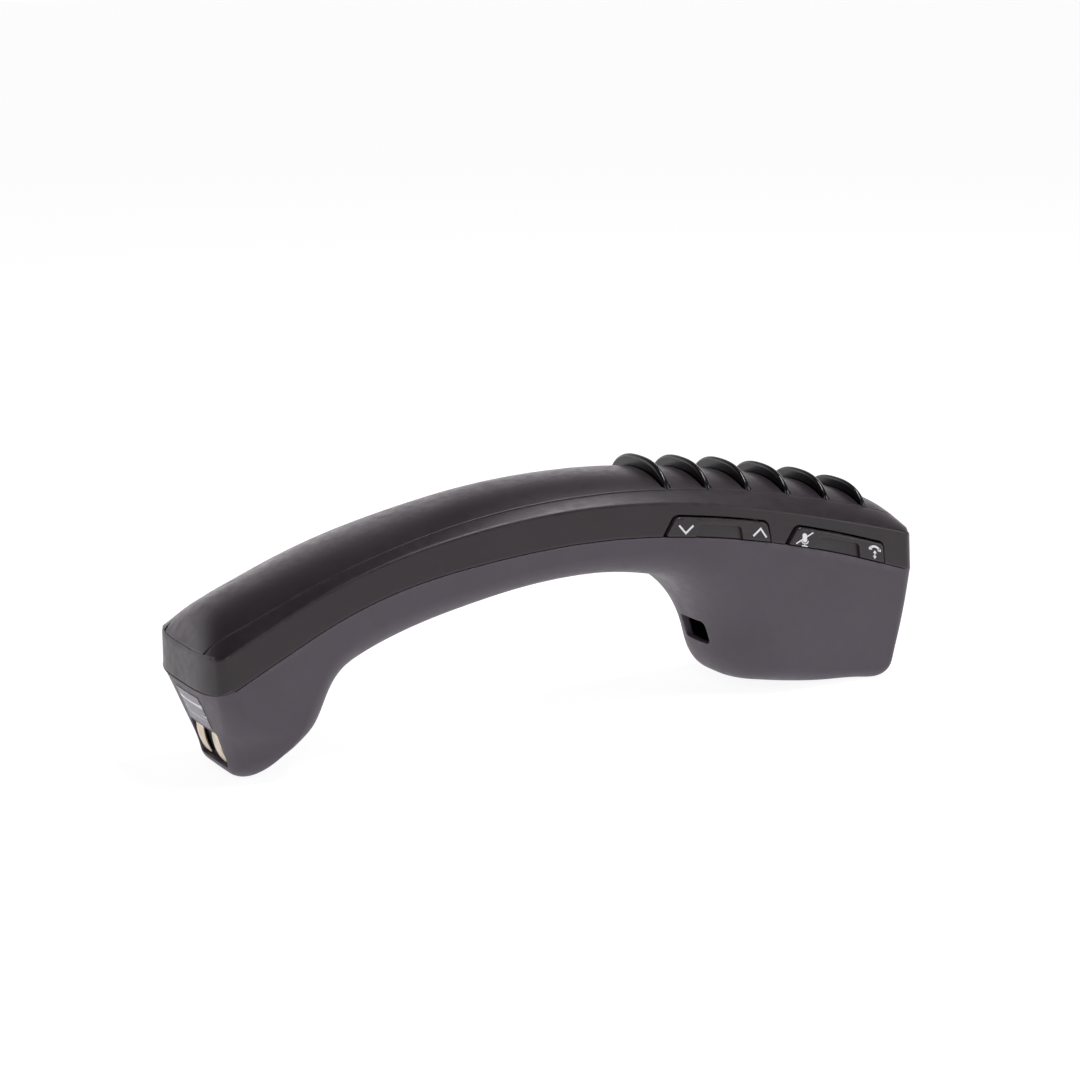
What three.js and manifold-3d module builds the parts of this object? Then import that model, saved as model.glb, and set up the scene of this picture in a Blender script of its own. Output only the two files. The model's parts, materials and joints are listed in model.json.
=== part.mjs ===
// Cordless telephone handset, lying on its two cups.
// Millimetres, +Z up. The origin is on the table at mid-length, on the symmetry plane y = 0.
// +X runs to the earpiece end, the back of the handset faces +Z, and the two side rockers
// are on the -Y side. The parts are drawn in x from a zero near mid-length, and the group
// is shifted to centre them.
import * as THREE from 'three';
import { mergeVertices } from 'three/addons/utils/BufferGeometryUtils.js';
import Module from 'manifold-3d';

const wasm = await Module();
wasm.setup();

// ---------------------------------------------------------------- driving dimensions
const X_MOUTH = -102.1;        // mouth end of the back, on the centre line
const X_EAR = 106.3;           // ear end of the back, on the centre line
const X_SHIFT = -(X_MOUTH + X_EAR) / 2;
const BULGE_MOUTH = 3.2;       // bow of each end in plan
const BULGE_EAR = 2.3;
const BOW_MOUTH = 4;           // exponents of those bows
const BOW_EAR = 2.5;
const CORNER_R = 2.2;          // plan radius of the four upright corners
const WALL = 1.8;              // wall of the front housing
const DRAFT = 0.030;           // side draft below the main seam, mm per mm
const CREASE_IN = 0.5;         // how far the rail leans in from seam to crease
const CROWN_EXP = 2.3;         // roundness of the back across its width
const SEAM_GAP = 0.32;         // gap in the main seam
const PANEL_T = 1.9;           // back panel thickness
const PANEL_GAP = 0.25;        // gap round the back panel
const END_RIM = 1.1;           // rim of the frame outside the panel at each end
const SCREW_R = 1.1;
const SCREW_HEAD_R = 2.0;
const BOARD_Z = 50.0;          // underside of the main board
const BOARD_T = 1.2;
const BOARD_TOP = BOARD_Z + BOARD_T;
const BOARD_POSTS = [[26, -10.5], [26, 10.5], [-42, 0]]; // x, y

// [x, full width at the main seam]
const WIDTH = [[-110, 40.3], [-100, 40], [-60, 38.8], [0, 38], [50, 40], [105, 42.6], [115, 43]];
// [x, height of the main seam]
const SEAM_Z = [
  [-103, 23.9], [-99.6, 24], [-98, 24.65], [-90, 28.45], [-80, 33.3], [-70, 37.9], [-60, 41.6],
  [-50, 44.35], [-40, 46.25], [-30, 47.55], [-20, 48.55], [-10, 49.2], [0, 49.5], [10, 49.35],
  [20, 48.75], [30, 47.7], [40, 46.28], [50, 44.49], [60, 42.34], [70, 39.85], [80, 37.05],
  [90, 33.9], [98, 31.2], [103, 29.5], [107, 28.7]];
// [x, height of the crease between rail side and rail top]
const CREASE_Z = [
  [-103, 32.8], [-99.6, 33.3], [-98, 34.1], [-90, 37.7], [-80, 42.4], [-70, 46.6], [-60, 50],
  [-50, 52.7], [-40, 54.7], [-30, 56.2], [-20, 57.35], [-10, 58.1], [0, 58.4], [10, 58.26],
  [20, 57.67], [30, 56.6], [40, 55.1], [50, 53.2], [60, 51.02], [70, 48.66], [80, 46.2],
  [90, 43.6], [98, 41.4], [103, 39.9], [107, 38.8]];
// [x, height of the crown above the crease]
const CROWN = [
  [-102.1, 0.1], [-101.6, 0.7], [-100.5, 2.5], [-99, 4.3], [-97, 5.8], [-94, 6.6], [-90, 6.6],
  [-80, 5.6], [-65, 4.7], [-50, 4.4], [-20, 5.6], [10, 6.2], [40, 6.6], [65, 7.6], [85, 7.6],
  [93, 7.1], [98, 6.8], [102, 5.9], [104.3, 4.3], [105.6, 2.2], [106.3, 0.3], [107, 0.3]];
// [x, half width of the back panel's opening]
const PANEL_Y = [
  [-103, 11.6], [-101.9, 12.1], [-100.4, 13], [-98.5, 14], [-96.3, 14.7], [-93.6, 15],
  [-88, 15.4], [-80, 15.4], [-70, 15.5], [-58, 15.5], [-43, 15.1], [-30, 14.8], [-10, 14.8],
  [20, 14.7], [43, 14.2], [56, 14], [70, 13.8], [95, 13.8], [107, 13.6]];
// Centre-line outline of the front housing, mouth end to ear end. Columns: outline x, z;
// x, z on the side wall where the edge rounding ends; width of the rounding across y;
// bow in plan
const OUTLINE = [
  [-102.1, 24, -96.8, 25.2, 2.4, 3.0], [-100.3, 19.7, -94.4, 20.8, 4.2, 2.4],
  [-97.7, 13.2, -88.9, 15.2, 7.4, 1.8], [-95.9, 7.6, -82.5, 12, 12, 0.9],
  [-94.9, 4.2, -81.8, 11, 12, 0.7], [-93.9, 1.5, -81.3, 10.5, 12, 0.5],
  [-91.2, 0.2, -81, 10.3, 12, 0.3], [-87.5, 2.2, -80.5, 10.2, 11, 0],
  [-82, 5.2, -79.6, 11.2, 10.5, 0], [-76.8, 8.3, -78.4, 13.2, 10.5, 0],
  [-73, 11.2, -77.2, 15.8, 11, 0], [-70.2, 15, -75.8, 19.2, 13, 0],
  [-67.8, 19.7, -73.6, 24.2, 13.5, 0], [-64.8, 24.1, -69.6, 29.8, 12, 0],
  [-59.5, 27.6, -62.8, 34, 10, 0], [-50, 31.4, -52, 38.1, 8.5, 0],
  [-40, 34.2, -41.6, 40.6, 8, 0], [-28, 36.7, -29.2, 42.8, 7.5, 0],
  [-14, 38.8, -14.6, 44.7, 7.5, 0], [0, 39.7, 0, 45.7, 7.5, 0],
  [12, 39.2, 12.7, 45.6, 8, 0], [23, 37.1, 25.2, 44.8, 10.5, 0],
  [32.9, 33.6, 37.4, 41.6, 14, 0], [40.2, 27.4, 49, 35.4, 17, 0],
  [44.5, 20.8, 56.2, 27.2, 18, 0], [47, 13.8, 60.2, 19, 18.5, 0],
  [48.8, 7.8, 62, 12.4, 18.5, 0], [52, 3.9, 63.2, 8.8, 17.5, 0],
  [58.5, 2.2, 65.2, 6.8, 14, 0], [67, 1.4, 69.6, 5.6, 9, 0],
  [78, 0.75, 78.6, 4.2, 5, 0], [89, 0.2, 89, 3, 3.4, 0],
  [96.2, 0, 95.6, 2.6, 3, 0.2], [98.9, 1.5, 97.1, 3.6, 3, 0.8],
  [100.9, 5.6, 97.9, 6.5, 2.8, 1.4], [103.2, 13.2, 99.1, 13.6, 2.6, 1.9],
  [105, 21.2, 100.4, 21.4, 2.5, 2.2], [106.3, 28.8, 101.6, 29.96, 2.4, 2.3]];
const OUTLINE_START = OUTLINE[0];
const OUTLINE_END = OUTLINE[OUTLINE.length - 1];

// ---------------------------------------------------------------- finishes
const FINISH = {
  back: { color: 0x3a3539, roughness: 0.42 },
  front: { color: 0x57525b, roughness: 0.55 },
  rib: { color: 0x0b0a0b, roughness: 0.18 },
  key: { color: 0x353136, roughness: 0.4 },
  inner: { color: 0x2b2b2e, roughness: 0.6 },
  steel: { color: 0xb8bbc0, roughness: 0.3, metalness: 1 },
  gold: { color: 0xc9b184, roughness: 0.3, metalness: 1 },
  board: { color: 0x1f5a38, roughness: 0.45 },
  rubber: { color: 0x1c1c1e, roughness: 0.8 },
  cloth: { color: 0x202022, roughness: 0.95 },
  label: { color: 0x9a989f, roughness: 0.4 },
  cell: { color: 0x2f4f7a, roughness: 0.4 },
  wire: { color: 0x7a1f1f, roughness: 0.5 },
  speaker: { color: 0x77797d, roughness: 0.35, metalness: 0.8 },
  white: { color: 0xd8d8d8, roughness: 0.5 },
};

// ---------------------------------------------------------------- curves
const clamp = (v, low, high) => Math.min(high, Math.max(low, v));

// monotone cubic through [x, y] points, straight beyond both ends
function monotoneCurve(points) {
  const x = points.map((p) => p[0]);
  const y = points.map((p) => p[1]);
  const last = x.length - 1;
  const gap = [];
  const slope = [];
  for (let i = 0; i < last; i++) {
    gap.push(x[i + 1] - x[i]);
    slope.push((y[i + 1] - y[i]) / gap[i]);
  }
  const tangent = new Array(last + 1).fill(0);
  for (let i = 1; i < last; i++) {
    if (slope[i - 1] * slope[i] > 0) {
      const before = 2 * gap[i] + gap[i - 1];
      const after = gap[i] + 2 * gap[i - 1];
      tangent[i] = (before + after) / (before / slope[i - 1] + after / slope[i]);
    }
  }
  tangent[0] = slope[0];
  tangent[last] = slope[last - 1];
  return (q) => {
    if (q <= x[0]) return y[0] + tangent[0] * (q - x[0]);
    if (q >= x[last]) return y[last] + tangent[last] * (q - x[last]);
    let i = 0;
    while (q > x[i + 1]) i++;
    const t = (q - x[i]) / gap[i];
    const t2 = t * t;
    const t3 = t2 * t;
    return (2 * t3 - 3 * t2 + 1) * y[i] + (t3 - 2 * t2 + t) * gap[i] * tangent[i]
      + (-2 * t3 + 3 * t2) * y[i + 1] + (t3 - t2) * gap[i] * tangent[i + 1];
  };
}

// natural cubic spline through the points x[i], y[i]
function naturalCurve(x, y) {
  const last = x.length - 1;
  const gap = [];
  for (let i = 0; i < last; i++) gap.push(x[i + 1] - x[i]);
  const bend = new Array(last + 1).fill(0); // second derivative at each point
  const upper = new Array(last + 1).fill(0);
  const right = new Array(last + 1).fill(0);
  for (let i = 1; i < last; i++) {
    const pivot = 2 * (gap[i - 1] + gap[i]) - gap[i - 1] * upper[i - 1];
    const turn = (y[i + 1] - y[i]) / gap[i] - (y[i] - y[i - 1]) / gap[i - 1];
    upper[i] = gap[i] / pivot;
    right[i] = (6 * turn - gap[i - 1] * right[i - 1]) / pivot;
  }
  for (let i = last - 1; i > 0; i--) bend[i] = right[i] - upper[i] * bend[i + 1];
  return (q) => {
    let i = 0;
    while (i < last - 1 && q > x[i + 1]) i++;
    const a = (x[i + 1] - q) / gap[i];
    const b = (q - x[i]) / gap[i];
    const cubic = (a ** 3 - a) * bend[i] + (b ** 3 - b) * bend[i + 1];
    return a * y[i] + b * y[i + 1] + cubic * gap[i] * gap[i] / 6;
  };
}

const width = monotoneCurve(WIDTH);
const seamZ = monotoneCurve(SEAM_Z);
const creaseZ = monotoneCurve(CREASE_Z);
const crown = monotoneCurve(CROWN);
const panelY = monotoneCurve(PANEL_Y);
// height of the back's surface
function topZ(x, y) {
  const across = Math.min(1, Math.abs(y) / (width(x) / 2 - CREASE_IN));
  return creaseZ(x) + crown(x) * (1 - across ** CROWN_EXP);
}
// half width of the side walls
const sideY = (x, z) => width(x) / 2 - DRAFT * Math.max(0, seamZ(x) - z);

// ---------------------------------------------------------------- mesh helpers
const vec = (x, y, z) => new THREE.Vector3(x, y, z);
const moved = (point, direction, distance) => point.clone().addScaledVector(direction, distance);

// indexed body from points and triangles, with coincident points welded
function solid(points, triangles) {
  const key = new Map();
  const positions = [];
  const welded = points.map((p) => {
    const k = p.toArray().map((v) => Math.round(v * 2e4)).join();
    if (!key.has(k)) {
      key.set(k, positions.length / 3);
      positions.push(p.x, p.y, p.z);
    }
    return key.get(k);
  });
  const index = [];
  for (const triangle of triangles) {
    const [a, b, c] = triangle.map((i) => welded[i]);
    if (a !== b && b !== c && a !== c) index.push(a, b, c);
  }
  return indexed(positions, index);
}

function indexed(positions, index) {
  const g = new THREE.BufferGeometry();
  g.setAttribute('position', new THREE.BufferAttribute(new Float32Array(positions), 3));
  g.setIndex(index);
  return g;
}

function volume(g) {
  const { index, attributes } = g;
  const corner = (i) => vec(0, 0, 0).fromBufferAttribute(attributes.position, index.getX(i));
  let sum = 0;
  for (let i = 0; i < index.count; i += 3) {
    sum += corner(i).dot(corner(i + 1).cross(corner(i + 2))) / 6;
  }
  return sum;
}

// turn the faces outward
function outward(g) {
  if (volume(g) < 0) {
    const index = g.index.array;
    for (let i = 0; i < index.length; i += 3) {
      [index[i], index[i + 1]] = [index[i + 1], index[i]];
    }
  }
  return g;
}

// two matching grids of points, joined round their edge into one closed body
function gridShell(outer, inner) {
  const rows = outer.length;
  const cols = outer[0].length;
  const other = rows * cols; // index step from one grid to the other
  const faces = [];
  const quad = (a, b, c, d) => faces.push([a, b, c], [a, c, d]);
  for (let i = 0; i < rows - 1; i++) {
    for (let j = 0; j < cols - 1; j++) {
      const a = i * cols + j;
      const d = a + cols;
      quad(a, a + 1, d + 1, d);
      quad(other + a, other + d, other + d + 1, other + a + 1);
    }
  }
  for (let i = 0; i < rows - 1; i++) {
    const first = i * cols;
    const last = first + cols - 1;
    quad(first, first + cols, other + first + cols, other + first);
    quad(last, other + last, other + last + cols, last + cols);
  }
  for (let j = 0; j < cols - 1; j++) {
    const end = (rows - 1) * cols + j;
    quad(j, other + j, other + j + 1, j + 1);
    quad(end, end + 1, other + end + 1, other + end);
  }
  return outward(solid([...outer.flat(), ...inner.flat()], faces));
}

// sections swept one to the next; closed joins the last to the first, otherwise the ends
// are capped, using the flat outline to triangulate them
function loft(rings, { closed = false, flat = rings[0].map((p) => [p.y, p.z]) } = {}) {
  const count = rings.length;
  const size = rings[0].length;
  const faces = [];
  for (let i = 0; i < (closed ? count : count - 1); i++) {
    const here = i * size;
    const next = ((i + 1) % count) * size;
    for (let j = 0; j < size; j++) {
      const k = (j + 1) % size;
      faces.push([here + j, here + k, next + k], [here + j, next + k, next + j]);
    }
  }
  if (!closed) {
    const shape = flat.map((p) => new THREE.Vector2(...p));
    const end = (count - 1) * size;
    for (const [p, q, r] of THREE.ShapeUtils.triangulateShape(shape, [])) {
      const [a, b, c] = THREE.ShapeUtils.area(shape) < 0 ? [p, r, q] : [p, q, r];
      faces.push([c, b, a], [end + a, end + b, end + c]);
    }
  }
  return outward(solid(rings.flat(), faces));
}

// positions only, with coincident vertices merged
function bare(g) {
  const h = g.clone();
  h.deleteAttribute('normal');
  h.deleteAttribute('uv');
  return mergeVertices(h, 1e-4);
}

function toManifold(g) {
  const h = g.attributes.uv || g.attributes.normal || !g.index ? bare(g) : g;
  return new wasm.Manifold(new wasm.Mesh({
    numProp: 3,
    vertProperties: new Float32Array(h.attributes.position.array),
    triVerts: new Uint32Array(h.index.array),
  }));
}

function fromManifold(manifold) {
  const { vertProperties, triVerts, numProp } = manifold.getMesh();
  const positions = [];
  for (let i = 0; i < vertProperties.length; i += numProp) {
    positions.push(...vertProperties.slice(i, i + 3));
  }
  return indexed(positions, Array.from(triVerts));
}

const cut = (body, ...tools) => fromManifold(
  tools.reduce((m, tool) => m.subtract(toManifold(tool)), toManifold(body)));
const join = (body, ...others) => fromManifold(
  others.reduce((m, other) => m.add(toManifold(other)), toManifold(body)));
const common = (a, b) => fromManifold(toManifold(a).intersect(toManifold(b)));

function box(x0, x1, y0, y1, z0, z1) {
  const g = new THREE.BoxGeometry(x1 - x0, y1 - y0, z1 - z0);
  g.translate((x0 + x1) / 2, (y0 + y1) / 2, (z0 + z1) / 2);
  return g;
}

// box in slanted directions: at(u, v, w) gives its points, each range is [from, to]
function slantedBox(at, [u0, u1], [v0, v1], [w0, w1]) {
  const face = (w) => [at(u0, v0, w), at(u1, v0, w), at(u1, v1, w), at(u0, v1, w)];
  return loft([face(w0), face(w1)], { flat: [[0, 0], [1, 0], [1, 1], [0, 1]] });
}

// turn a body drawn along +Y to a direction, then move it to a point
function aim(g, direction, point) {
  const turn = new THREE.Quaternion().setFromUnitVectors(vec(0, 1, 0), direction.normalize());
  g.applyQuaternion(turn);
  g.translate(point.x, point.y, point.z);
  return g;
}

// cylinder between two points, or a cone when its far end has another radius
function rod(from, to, radius, sides, farRadius = radius) {
  const g = new THREE.CylinderGeometry(farRadius, radius, from.distanceTo(to), sides);
  return aim(g, to.clone().sub(from), from.clone().add(to).multiplyScalar(0.5));
}

// turned body: profile [radius, height] round an axis from a point along a direction
function turned(profile, point, direction, sides) {
  const g = new THREE.LatheGeometry(profile.map((p) => new THREE.Vector2(...p)), sides);
  const h = bare(aim(g, direction.clone(), point));
  const index = h.index.array;
  const kept = [];
  for (let i = 0; i < index.length; i += 3) {
    const [a, b, c] = index.slice(i, i + 3);
    if (a !== b && b !== c && a !== c) kept.push(a, b, c);
  }
  h.setIndex(kept);
  return outward(h);
}

// prism from an outline in x-z, between two y values
function prismXZ(flat, y0, y1) {
  return loft([y0, y1].map((y) => flat.map(([x, z]) => vec(x, y, z))), { flat });
}

// six-sided wire along a smooth path
function wire(points, radius, steps) {
  const shape = new THREE.Shape();
  shape.moveTo(radius, 0);
  for (let i = 1; i < 6; i++) {
    const a = i / 6 * Math.PI * 2;
    shape.lineTo(radius * Math.cos(a), radius * Math.sin(a));
  }
  shape.closePath();
  const extrudePath = new THREE.CatmullRomCurve3(points);
  return new THREE.ExtrudeGeometry(shape, { steps, extrudePath });
}

const group = new THREE.Group();
// vertices closer than a micron are one, and slivers with no volume are dropped
function put(name, geometry, finish) {
  const whole = mergeVertices(bare(geometry.index ? geometry.toNonIndexed() : geometry), 1e-3);
  const bodies = toManifold(whole).decompose().sort((a, b) => b.volume() - a.volume());
  const hasSlivers = bodies.length > 1 && bodies[1].volume() < 0.01;
  const kept = hasSlivers ? fromManifold(bodies[0]) : whole;
  const mesh = new THREE.Mesh(kept, new THREE.MeshStandardMaterial(finish));
  mesh.name = name;
  group.add(mesh);
}

// ---------------------------------------------------------------- plan loops of the back
// stations across an end, as shares of the half width
const END_SHARES = [
  -1, -0.975, -0.93, -0.86, -0.76, -0.62, -0.4, 0, 0.4, 0.62, 0.76, 0.86, 0.93, 0.975];
const SIDE_STEPS = 30;

function endX(isEar, share, half, inset, radius) {
  const across = Math.abs(share);
  const t = clamp((across * half - (half - radius)) / radius, 0, 1);
  const corner = radius * (1 - Math.sqrt(1 - t * t));
  return isEar
    ? X_EAR - inset - BULGE_EAR * across ** BOW_EAR - corner
    : X_MOUTH + inset + BULGE_MOUTH * across ** BOW_MOUTH + corner;
}

// closed loop of [x, y], inset by sideInset(x) from the sides and by endInset from the ends
function planLoop(sideInset, endInset) {
  const radius = Math.max(CORNER_R - endInset, 0.4);
  const half = (x) => width(x) / 2 - sideInset(x);
  const xMouth = endX(false, 1, half(-99), endInset, radius);
  const xEar = endX(true, 1, half(103), endInset, radius);
  const loop = [];
  // sign -1: the -Y side and the ear end; sign 1: the +Y side and the mouth end
  for (const [from, to, sign] of [[xMouth, xEar, -1], [xEar, xMouth, 1]]) {
    for (let i = 0; i < SIDE_STEPS; i++) {
      const x = from + (to - from) * i / SIDE_STEPS;
      loop.push([x, sign * half(x)]);
    }
    for (const share of END_SHARES) {
      loop.push([endX(sign < 0, share, half(to), endInset, radius), -sign * share * half(to)]);
    }
  }
  return loop;
}
const panelInset = (x) => width(x) / 2 - panelY(x);

// ---------------------------------------------------------------- rockers: outlines
const ROCKER_PROUD = 0.5;
const ROCKER_T = 2.1;
const ROCKER_GAP = 0.35;
// cap and recess: corner points [x, height above the main seam]; arm: distance from the
// pivot to each switch
const VOLUME = {
  cap: [[25.6, 0.35], [57.6, 0.35], [56.9, 5.0], [55.9, 5.5], [29.6, 5.5], [28.3, 4.9]],
  recess: [[34.2, -1], [49.2, -1], [48.5, 3.2], [47.6, 3.8], [36.4, 3.8], [35.5, 3.3]],
  arm: 12.5,
};
const MUTE_HOOK = {
  cap: [[63.5, 0.35], [94.2, 0.35], [93.9, 5.0], [92.6, 5.6], [67.4, 5.5], [66.0, 4.9]],
  recess: [[72.0, -1], [86.4, -1], [85.8, 3.4], [84.8, 4.0], [74.4, 3.8], [73.4, 3.3]],
  arm: 12.0,
};

// outline in x-z from points given above the seam, with no edge longer than 4 mm there,
// so that it follows the curved seam
function onSeam(points) {
  const out = [];
  points.forEach(([x, h], i) => {
    const [nextX, nextH] = points[(i + 1) % points.length];
    const pieces = Math.max(1, Math.ceil(Math.hypot(nextX - x, nextH - h) / 4));
    for (let j = 0; j < pieces; j++) {
      const px = x + (nextX - x) * j / pieces;
      out.push([px, seamZ(px) + h + (nextH - h) * j / pieces]);
    }
  });
  return out;
}

// rocker outline with its gap, run down through the main seam
function pocketOutline(cap) {
  const bottom = -2;
  const middle = (cap[0][0] + cap[1][0]) / 2;
  const big = cap.map(([x, h]) => [
    x + Math.sign(x - middle) * ROCKER_GAP,
    h < 1 ? h : h + ROCKER_GAP,
  ]);
  return onSeam([[big[0][0], bottom], [big[1][0], bottom], ...big.slice(1), big[0]]);
}

// ---------------------------------------------------------------- rear frame
const WEB_T = 1.6;
const MOUTH_WEB_H = 1.8;       // underside of the mouth web above the seam
const EAR_WEB_Z = 33.6;        // underside of the ear web
const WEB_SIDE = 1.0;          // from the outside of the rail to the end of a web
const FRAME_WALL = 1.9;
const LEDGE_W = 2;             // ledge under the edge of the back panel

// housing screws: seat point on the web and the screw's upward direction
const SCREWS = [[-87.5, -11.5], [-87.5, 11.5], [98.6, -9.5], [98.6, 9.5]].map(([x, y]) => {
  if (x > 0) return { at: vec(x, y, EAR_WEB_Z + WEB_T), up: vec(0, 0, 1) };
  const slope = (seamZ(x + 1) - seamZ(x - 1)) / 2;
  return { at: vec(x, y, seamZ(x) + MOUTH_WEB_H + WEB_T), up: vec(-slope, 0, 1).normalize() };
});

function mouthWeb() {
  const rings = [];
  for (let i = 0; i <= 4; i++) {
    const x = -95 + 15 * i / 4;
    const y = width(x) / 2 - WEB_SIDE;
    const z = seamZ(x) + MOUTH_WEB_H;
    rings.push([vec(x, -y, z), vec(x, y, z), vec(x, y, z + WEB_T), vec(x, -y, z + WEB_T)]);
  }
  return loft(rings);
}

function earWeb() {
  const y = width(98) / 2 - WEB_SIDE;
  return box(95.5, 102, -y, y, EAR_WEB_Z, EAR_WEB_Z + WEB_T);
}

function rearFrame() {
  const outer = planLoop(() => 0, 0);
  const lean = planLoop(() => CREASE_IN * 0.5, 0.2);
  const crease = planLoop(() => CREASE_IN + 0.35, 0.55);
  const opening = planLoop(panelInset, END_RIM);
  const ledge = planLoop((x) => panelInset(x) + LEDGE_W, END_RIM + LEDGE_W);
  const inner = planLoop(() => FRAME_WALL, FRAME_WALL);
  const rings = outer.map((p, i) => {
    const top = topZ(...opening[i]);
    const ledgeTop = top - PANEL_T - 0.3;
    const creaseTop = Math.min(creaseZ(crease[i][0]) + 0.15, topZ(...crease[i]) + 0.1);
    return [
      vec(...p, seamZ(p[0]) + SEAM_GAP),
      vec(...lean[i], creaseZ(lean[i][0]) - 0.7),
      vec(...crease[i], creaseTop),
      vec(...opening[i], top),
      vec(...opening[i], ledgeTop),
      vec(...ledge[i], ledgeTop),
      vec(...ledge[i], ledgeTop - 1.2),
      vec(...inner[i], creaseZ(inner[i][0]) - 3.2),
      vec(...inner[i], seamZ(inner[i][0]) + SEAM_GAP),
    ];
  });
  // cross webs that take the housing screws, their ends buried in the rails
  const frame = join(loft(rings, { closed: true }), mouthWeb(), earWeb());
  const holes = SCREWS.map(({ at, up }) => (
    rod(moved(at, up, -6), moved(at, up, 4), SCREW_R + 0.35, 10)));
  // rocker pockets, open at the main seam
  const pockets = [VOLUME, MUTE_HOOK].map(({ cap }) => prismXZ(pocketOutline(cap), -26, -15.6));
  return cut(frame, ...holes, ...pockets);
}

// ---------------------------------------------------------------- back panel and rib comb
const RIB_X = [29.5, 42.3, 55.1, 67.9, 80.6, 93.0];
const RIB_W = 2.0;             // rib width along the handset
const RIB_H = 3.0;             // rib height above the panel
const RIB_SLOT = 2.7;          // slot width in the panel
const RIB_FOOT = 0.2;          // height of the rib's rim above the panel
const RIB_BEVEL = 0.5;         // drop of the rib's top at its two faces

function rearPanel() {
  const steps = 25;
  const shares = [-1, -0.86, -0.62, -0.32, 0, 0.32, 0.62, 0.86, 1];
  const top = [];
  for (let i = 0; i <= steps; i++) {
    top.push(shares.map((share) => {
      const across = Math.abs(share);
      const inset = END_RIM + PANEL_GAP + (across === 1 ? 0.4 : 0);
      const x0 = X_MOUTH + inset + BULGE_MOUTH * across ** BOW_MOUTH;
      const x1 = X_EAR - inset - BULGE_EAR * across ** BOW_EAR;
      const x = x0 + (x1 - x0) * i / steps;
      const y = share * (panelY(x) - PANEL_GAP);
      return vec(x, y, topZ(x, y));
    }));
  }
  const bottom = top.map((row) => row.map((p) => vec(p.x, p.y, p.z - PANEL_T)));
  const slots = RIB_X.map((x) => {
    const half = panelY(x) - 1.7;
    return box(x - RIB_SLOT / 2, x + RIB_SLOT / 2, -half, half, 30, 80);
  });
  return cut(gridShell(top, bottom), ...slots);
}

// curved plate under the panel that ties the ribs
function ribBase() {
  const rings = [];
  for (let i = 0; i <= 14; i++) {
    const x = 25 + 72 * i / 14;
    const line = (drop) => [-10, -5, 0, 5, 10].map((y) => (
      vec(x, y, topZ(x, y) - PANEL_T - drop)));
    rings.push([...line(0.35), ...line(1.5).reverse()]);
  }
  return loft(rings);
}

function rib(xRib) {
  const half = panelY(xRib) - 0.35;
  const slot = panelY(xRib) - 2.0;
  const steps = 9;
  // [y, height above the panel]
  const profile = [];
  for (let i = 0; i <= steps; i++) {
    const y = -half * Math.cos(Math.PI * i / steps);
    const arch = Math.pow(Math.max(0, 1 - (Math.abs(y) / half) ** 5), 0.55);
    profile.push([y, (RIB_H + 0.2) * arch + RIB_FOOT]);
  }
  profile.push(
    [slot, RIB_FOOT], [slot, -PANEL_T - 0.3],
    ...[9.9, 5, 0, -5, -9.9].map((y) => [y, -PANEL_T - 0.9]),
    [-slot, -PANEL_T - 0.3], [-slot, RIB_FOOT]);
  const section = (x, drop) => profile.map(([y, h]) => (
    vec(x, y, topZ(x, y) + (h > 0.5 ? Math.max(RIB_FOOT, h - drop) : h))));
  return loft([
    section(xRib - RIB_W / 2, RIB_BEVEL), section(xRib - RIB_W / 4, 0),
    section(xRib + RIB_W / 4, 0), section(xRib + RIB_W / 2, RIB_BEVEL),
  ], { flat: profile });
}

const ribInsert = () => RIB_X.reduce((comb, x) => join(comb, rib(x)), ribBase());

// ---------------------------------------------------------------- front housing surface
// length along the outline over which each end is blended to the seam
const END_BLEND = 8;
const outline = (() => {
  const run = [0];
  for (let i = 1; i < OUTLINE.length; i++) {
    const [x, z] = OUTLINE[i];
    run.push(run[i - 1] + Math.hypot(x - OUTLINE[i - 1][0], z - OUTLINE[i - 1][1]));
  }
  const curves = OUTLINE_START.map((_, k) => (k < 2
    ? naturalCurve(run, OUTLINE.map((row) => row[k]))
    : monotoneCurve(OUTLINE.map((row, i) => [run[i], row[k]]))));
  const length = run[run.length - 1];
  const blend = (distance) => clamp(1 - distance / END_BLEND, 0, 1) ** 2;
  // section at the length u along the outline; dirX, dirZ point into the housing
  const at = (u) => {
    const [x, z, wallX, wallZ, roundY, bow] = curves.map((curve) => curve(u));
    const reach = Math.hypot(wallX - x, wallZ - z);
    return {
      x, z, wallX, roundY, bow,
      depth: reach - bow,
      dirX: (wallX - x) / reach,
      dirZ: (wallZ - z) / reach,
      half: sideY(wallX, wallZ),
      mouthBlend: blend(u),
      earBlend: blend(length - u),
      bowPower: BOW_EAR + (BOW_MOUTH - BOW_EAR) * blend(u),
    };
  };
  return { length, at };
})();

// point of a section at y, set back inward from its bowed line
function sectionPoint(section, y, inward) {
  const { x, z, dirX, dirZ, bow, half, bowPower } = section;
  const h = bow * (Math.abs(y) / half) ** bowPower + inward;
  return vec(x + dirX * h, y, z + dirZ * h);
}

// point on the outside of the front housing, or above it by `out`
function frontPoint(u, y, out = 0) {
  const section = outline.at(u);
  const { half, roundY, depth } = section;
  const t = clamp((Math.abs(y) - (half - roundY)) / roundY, 0, 1);
  return sectionPoint(section, y, depth * (1 - Math.sqrt(1 - t * t)) - out);
}

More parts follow.
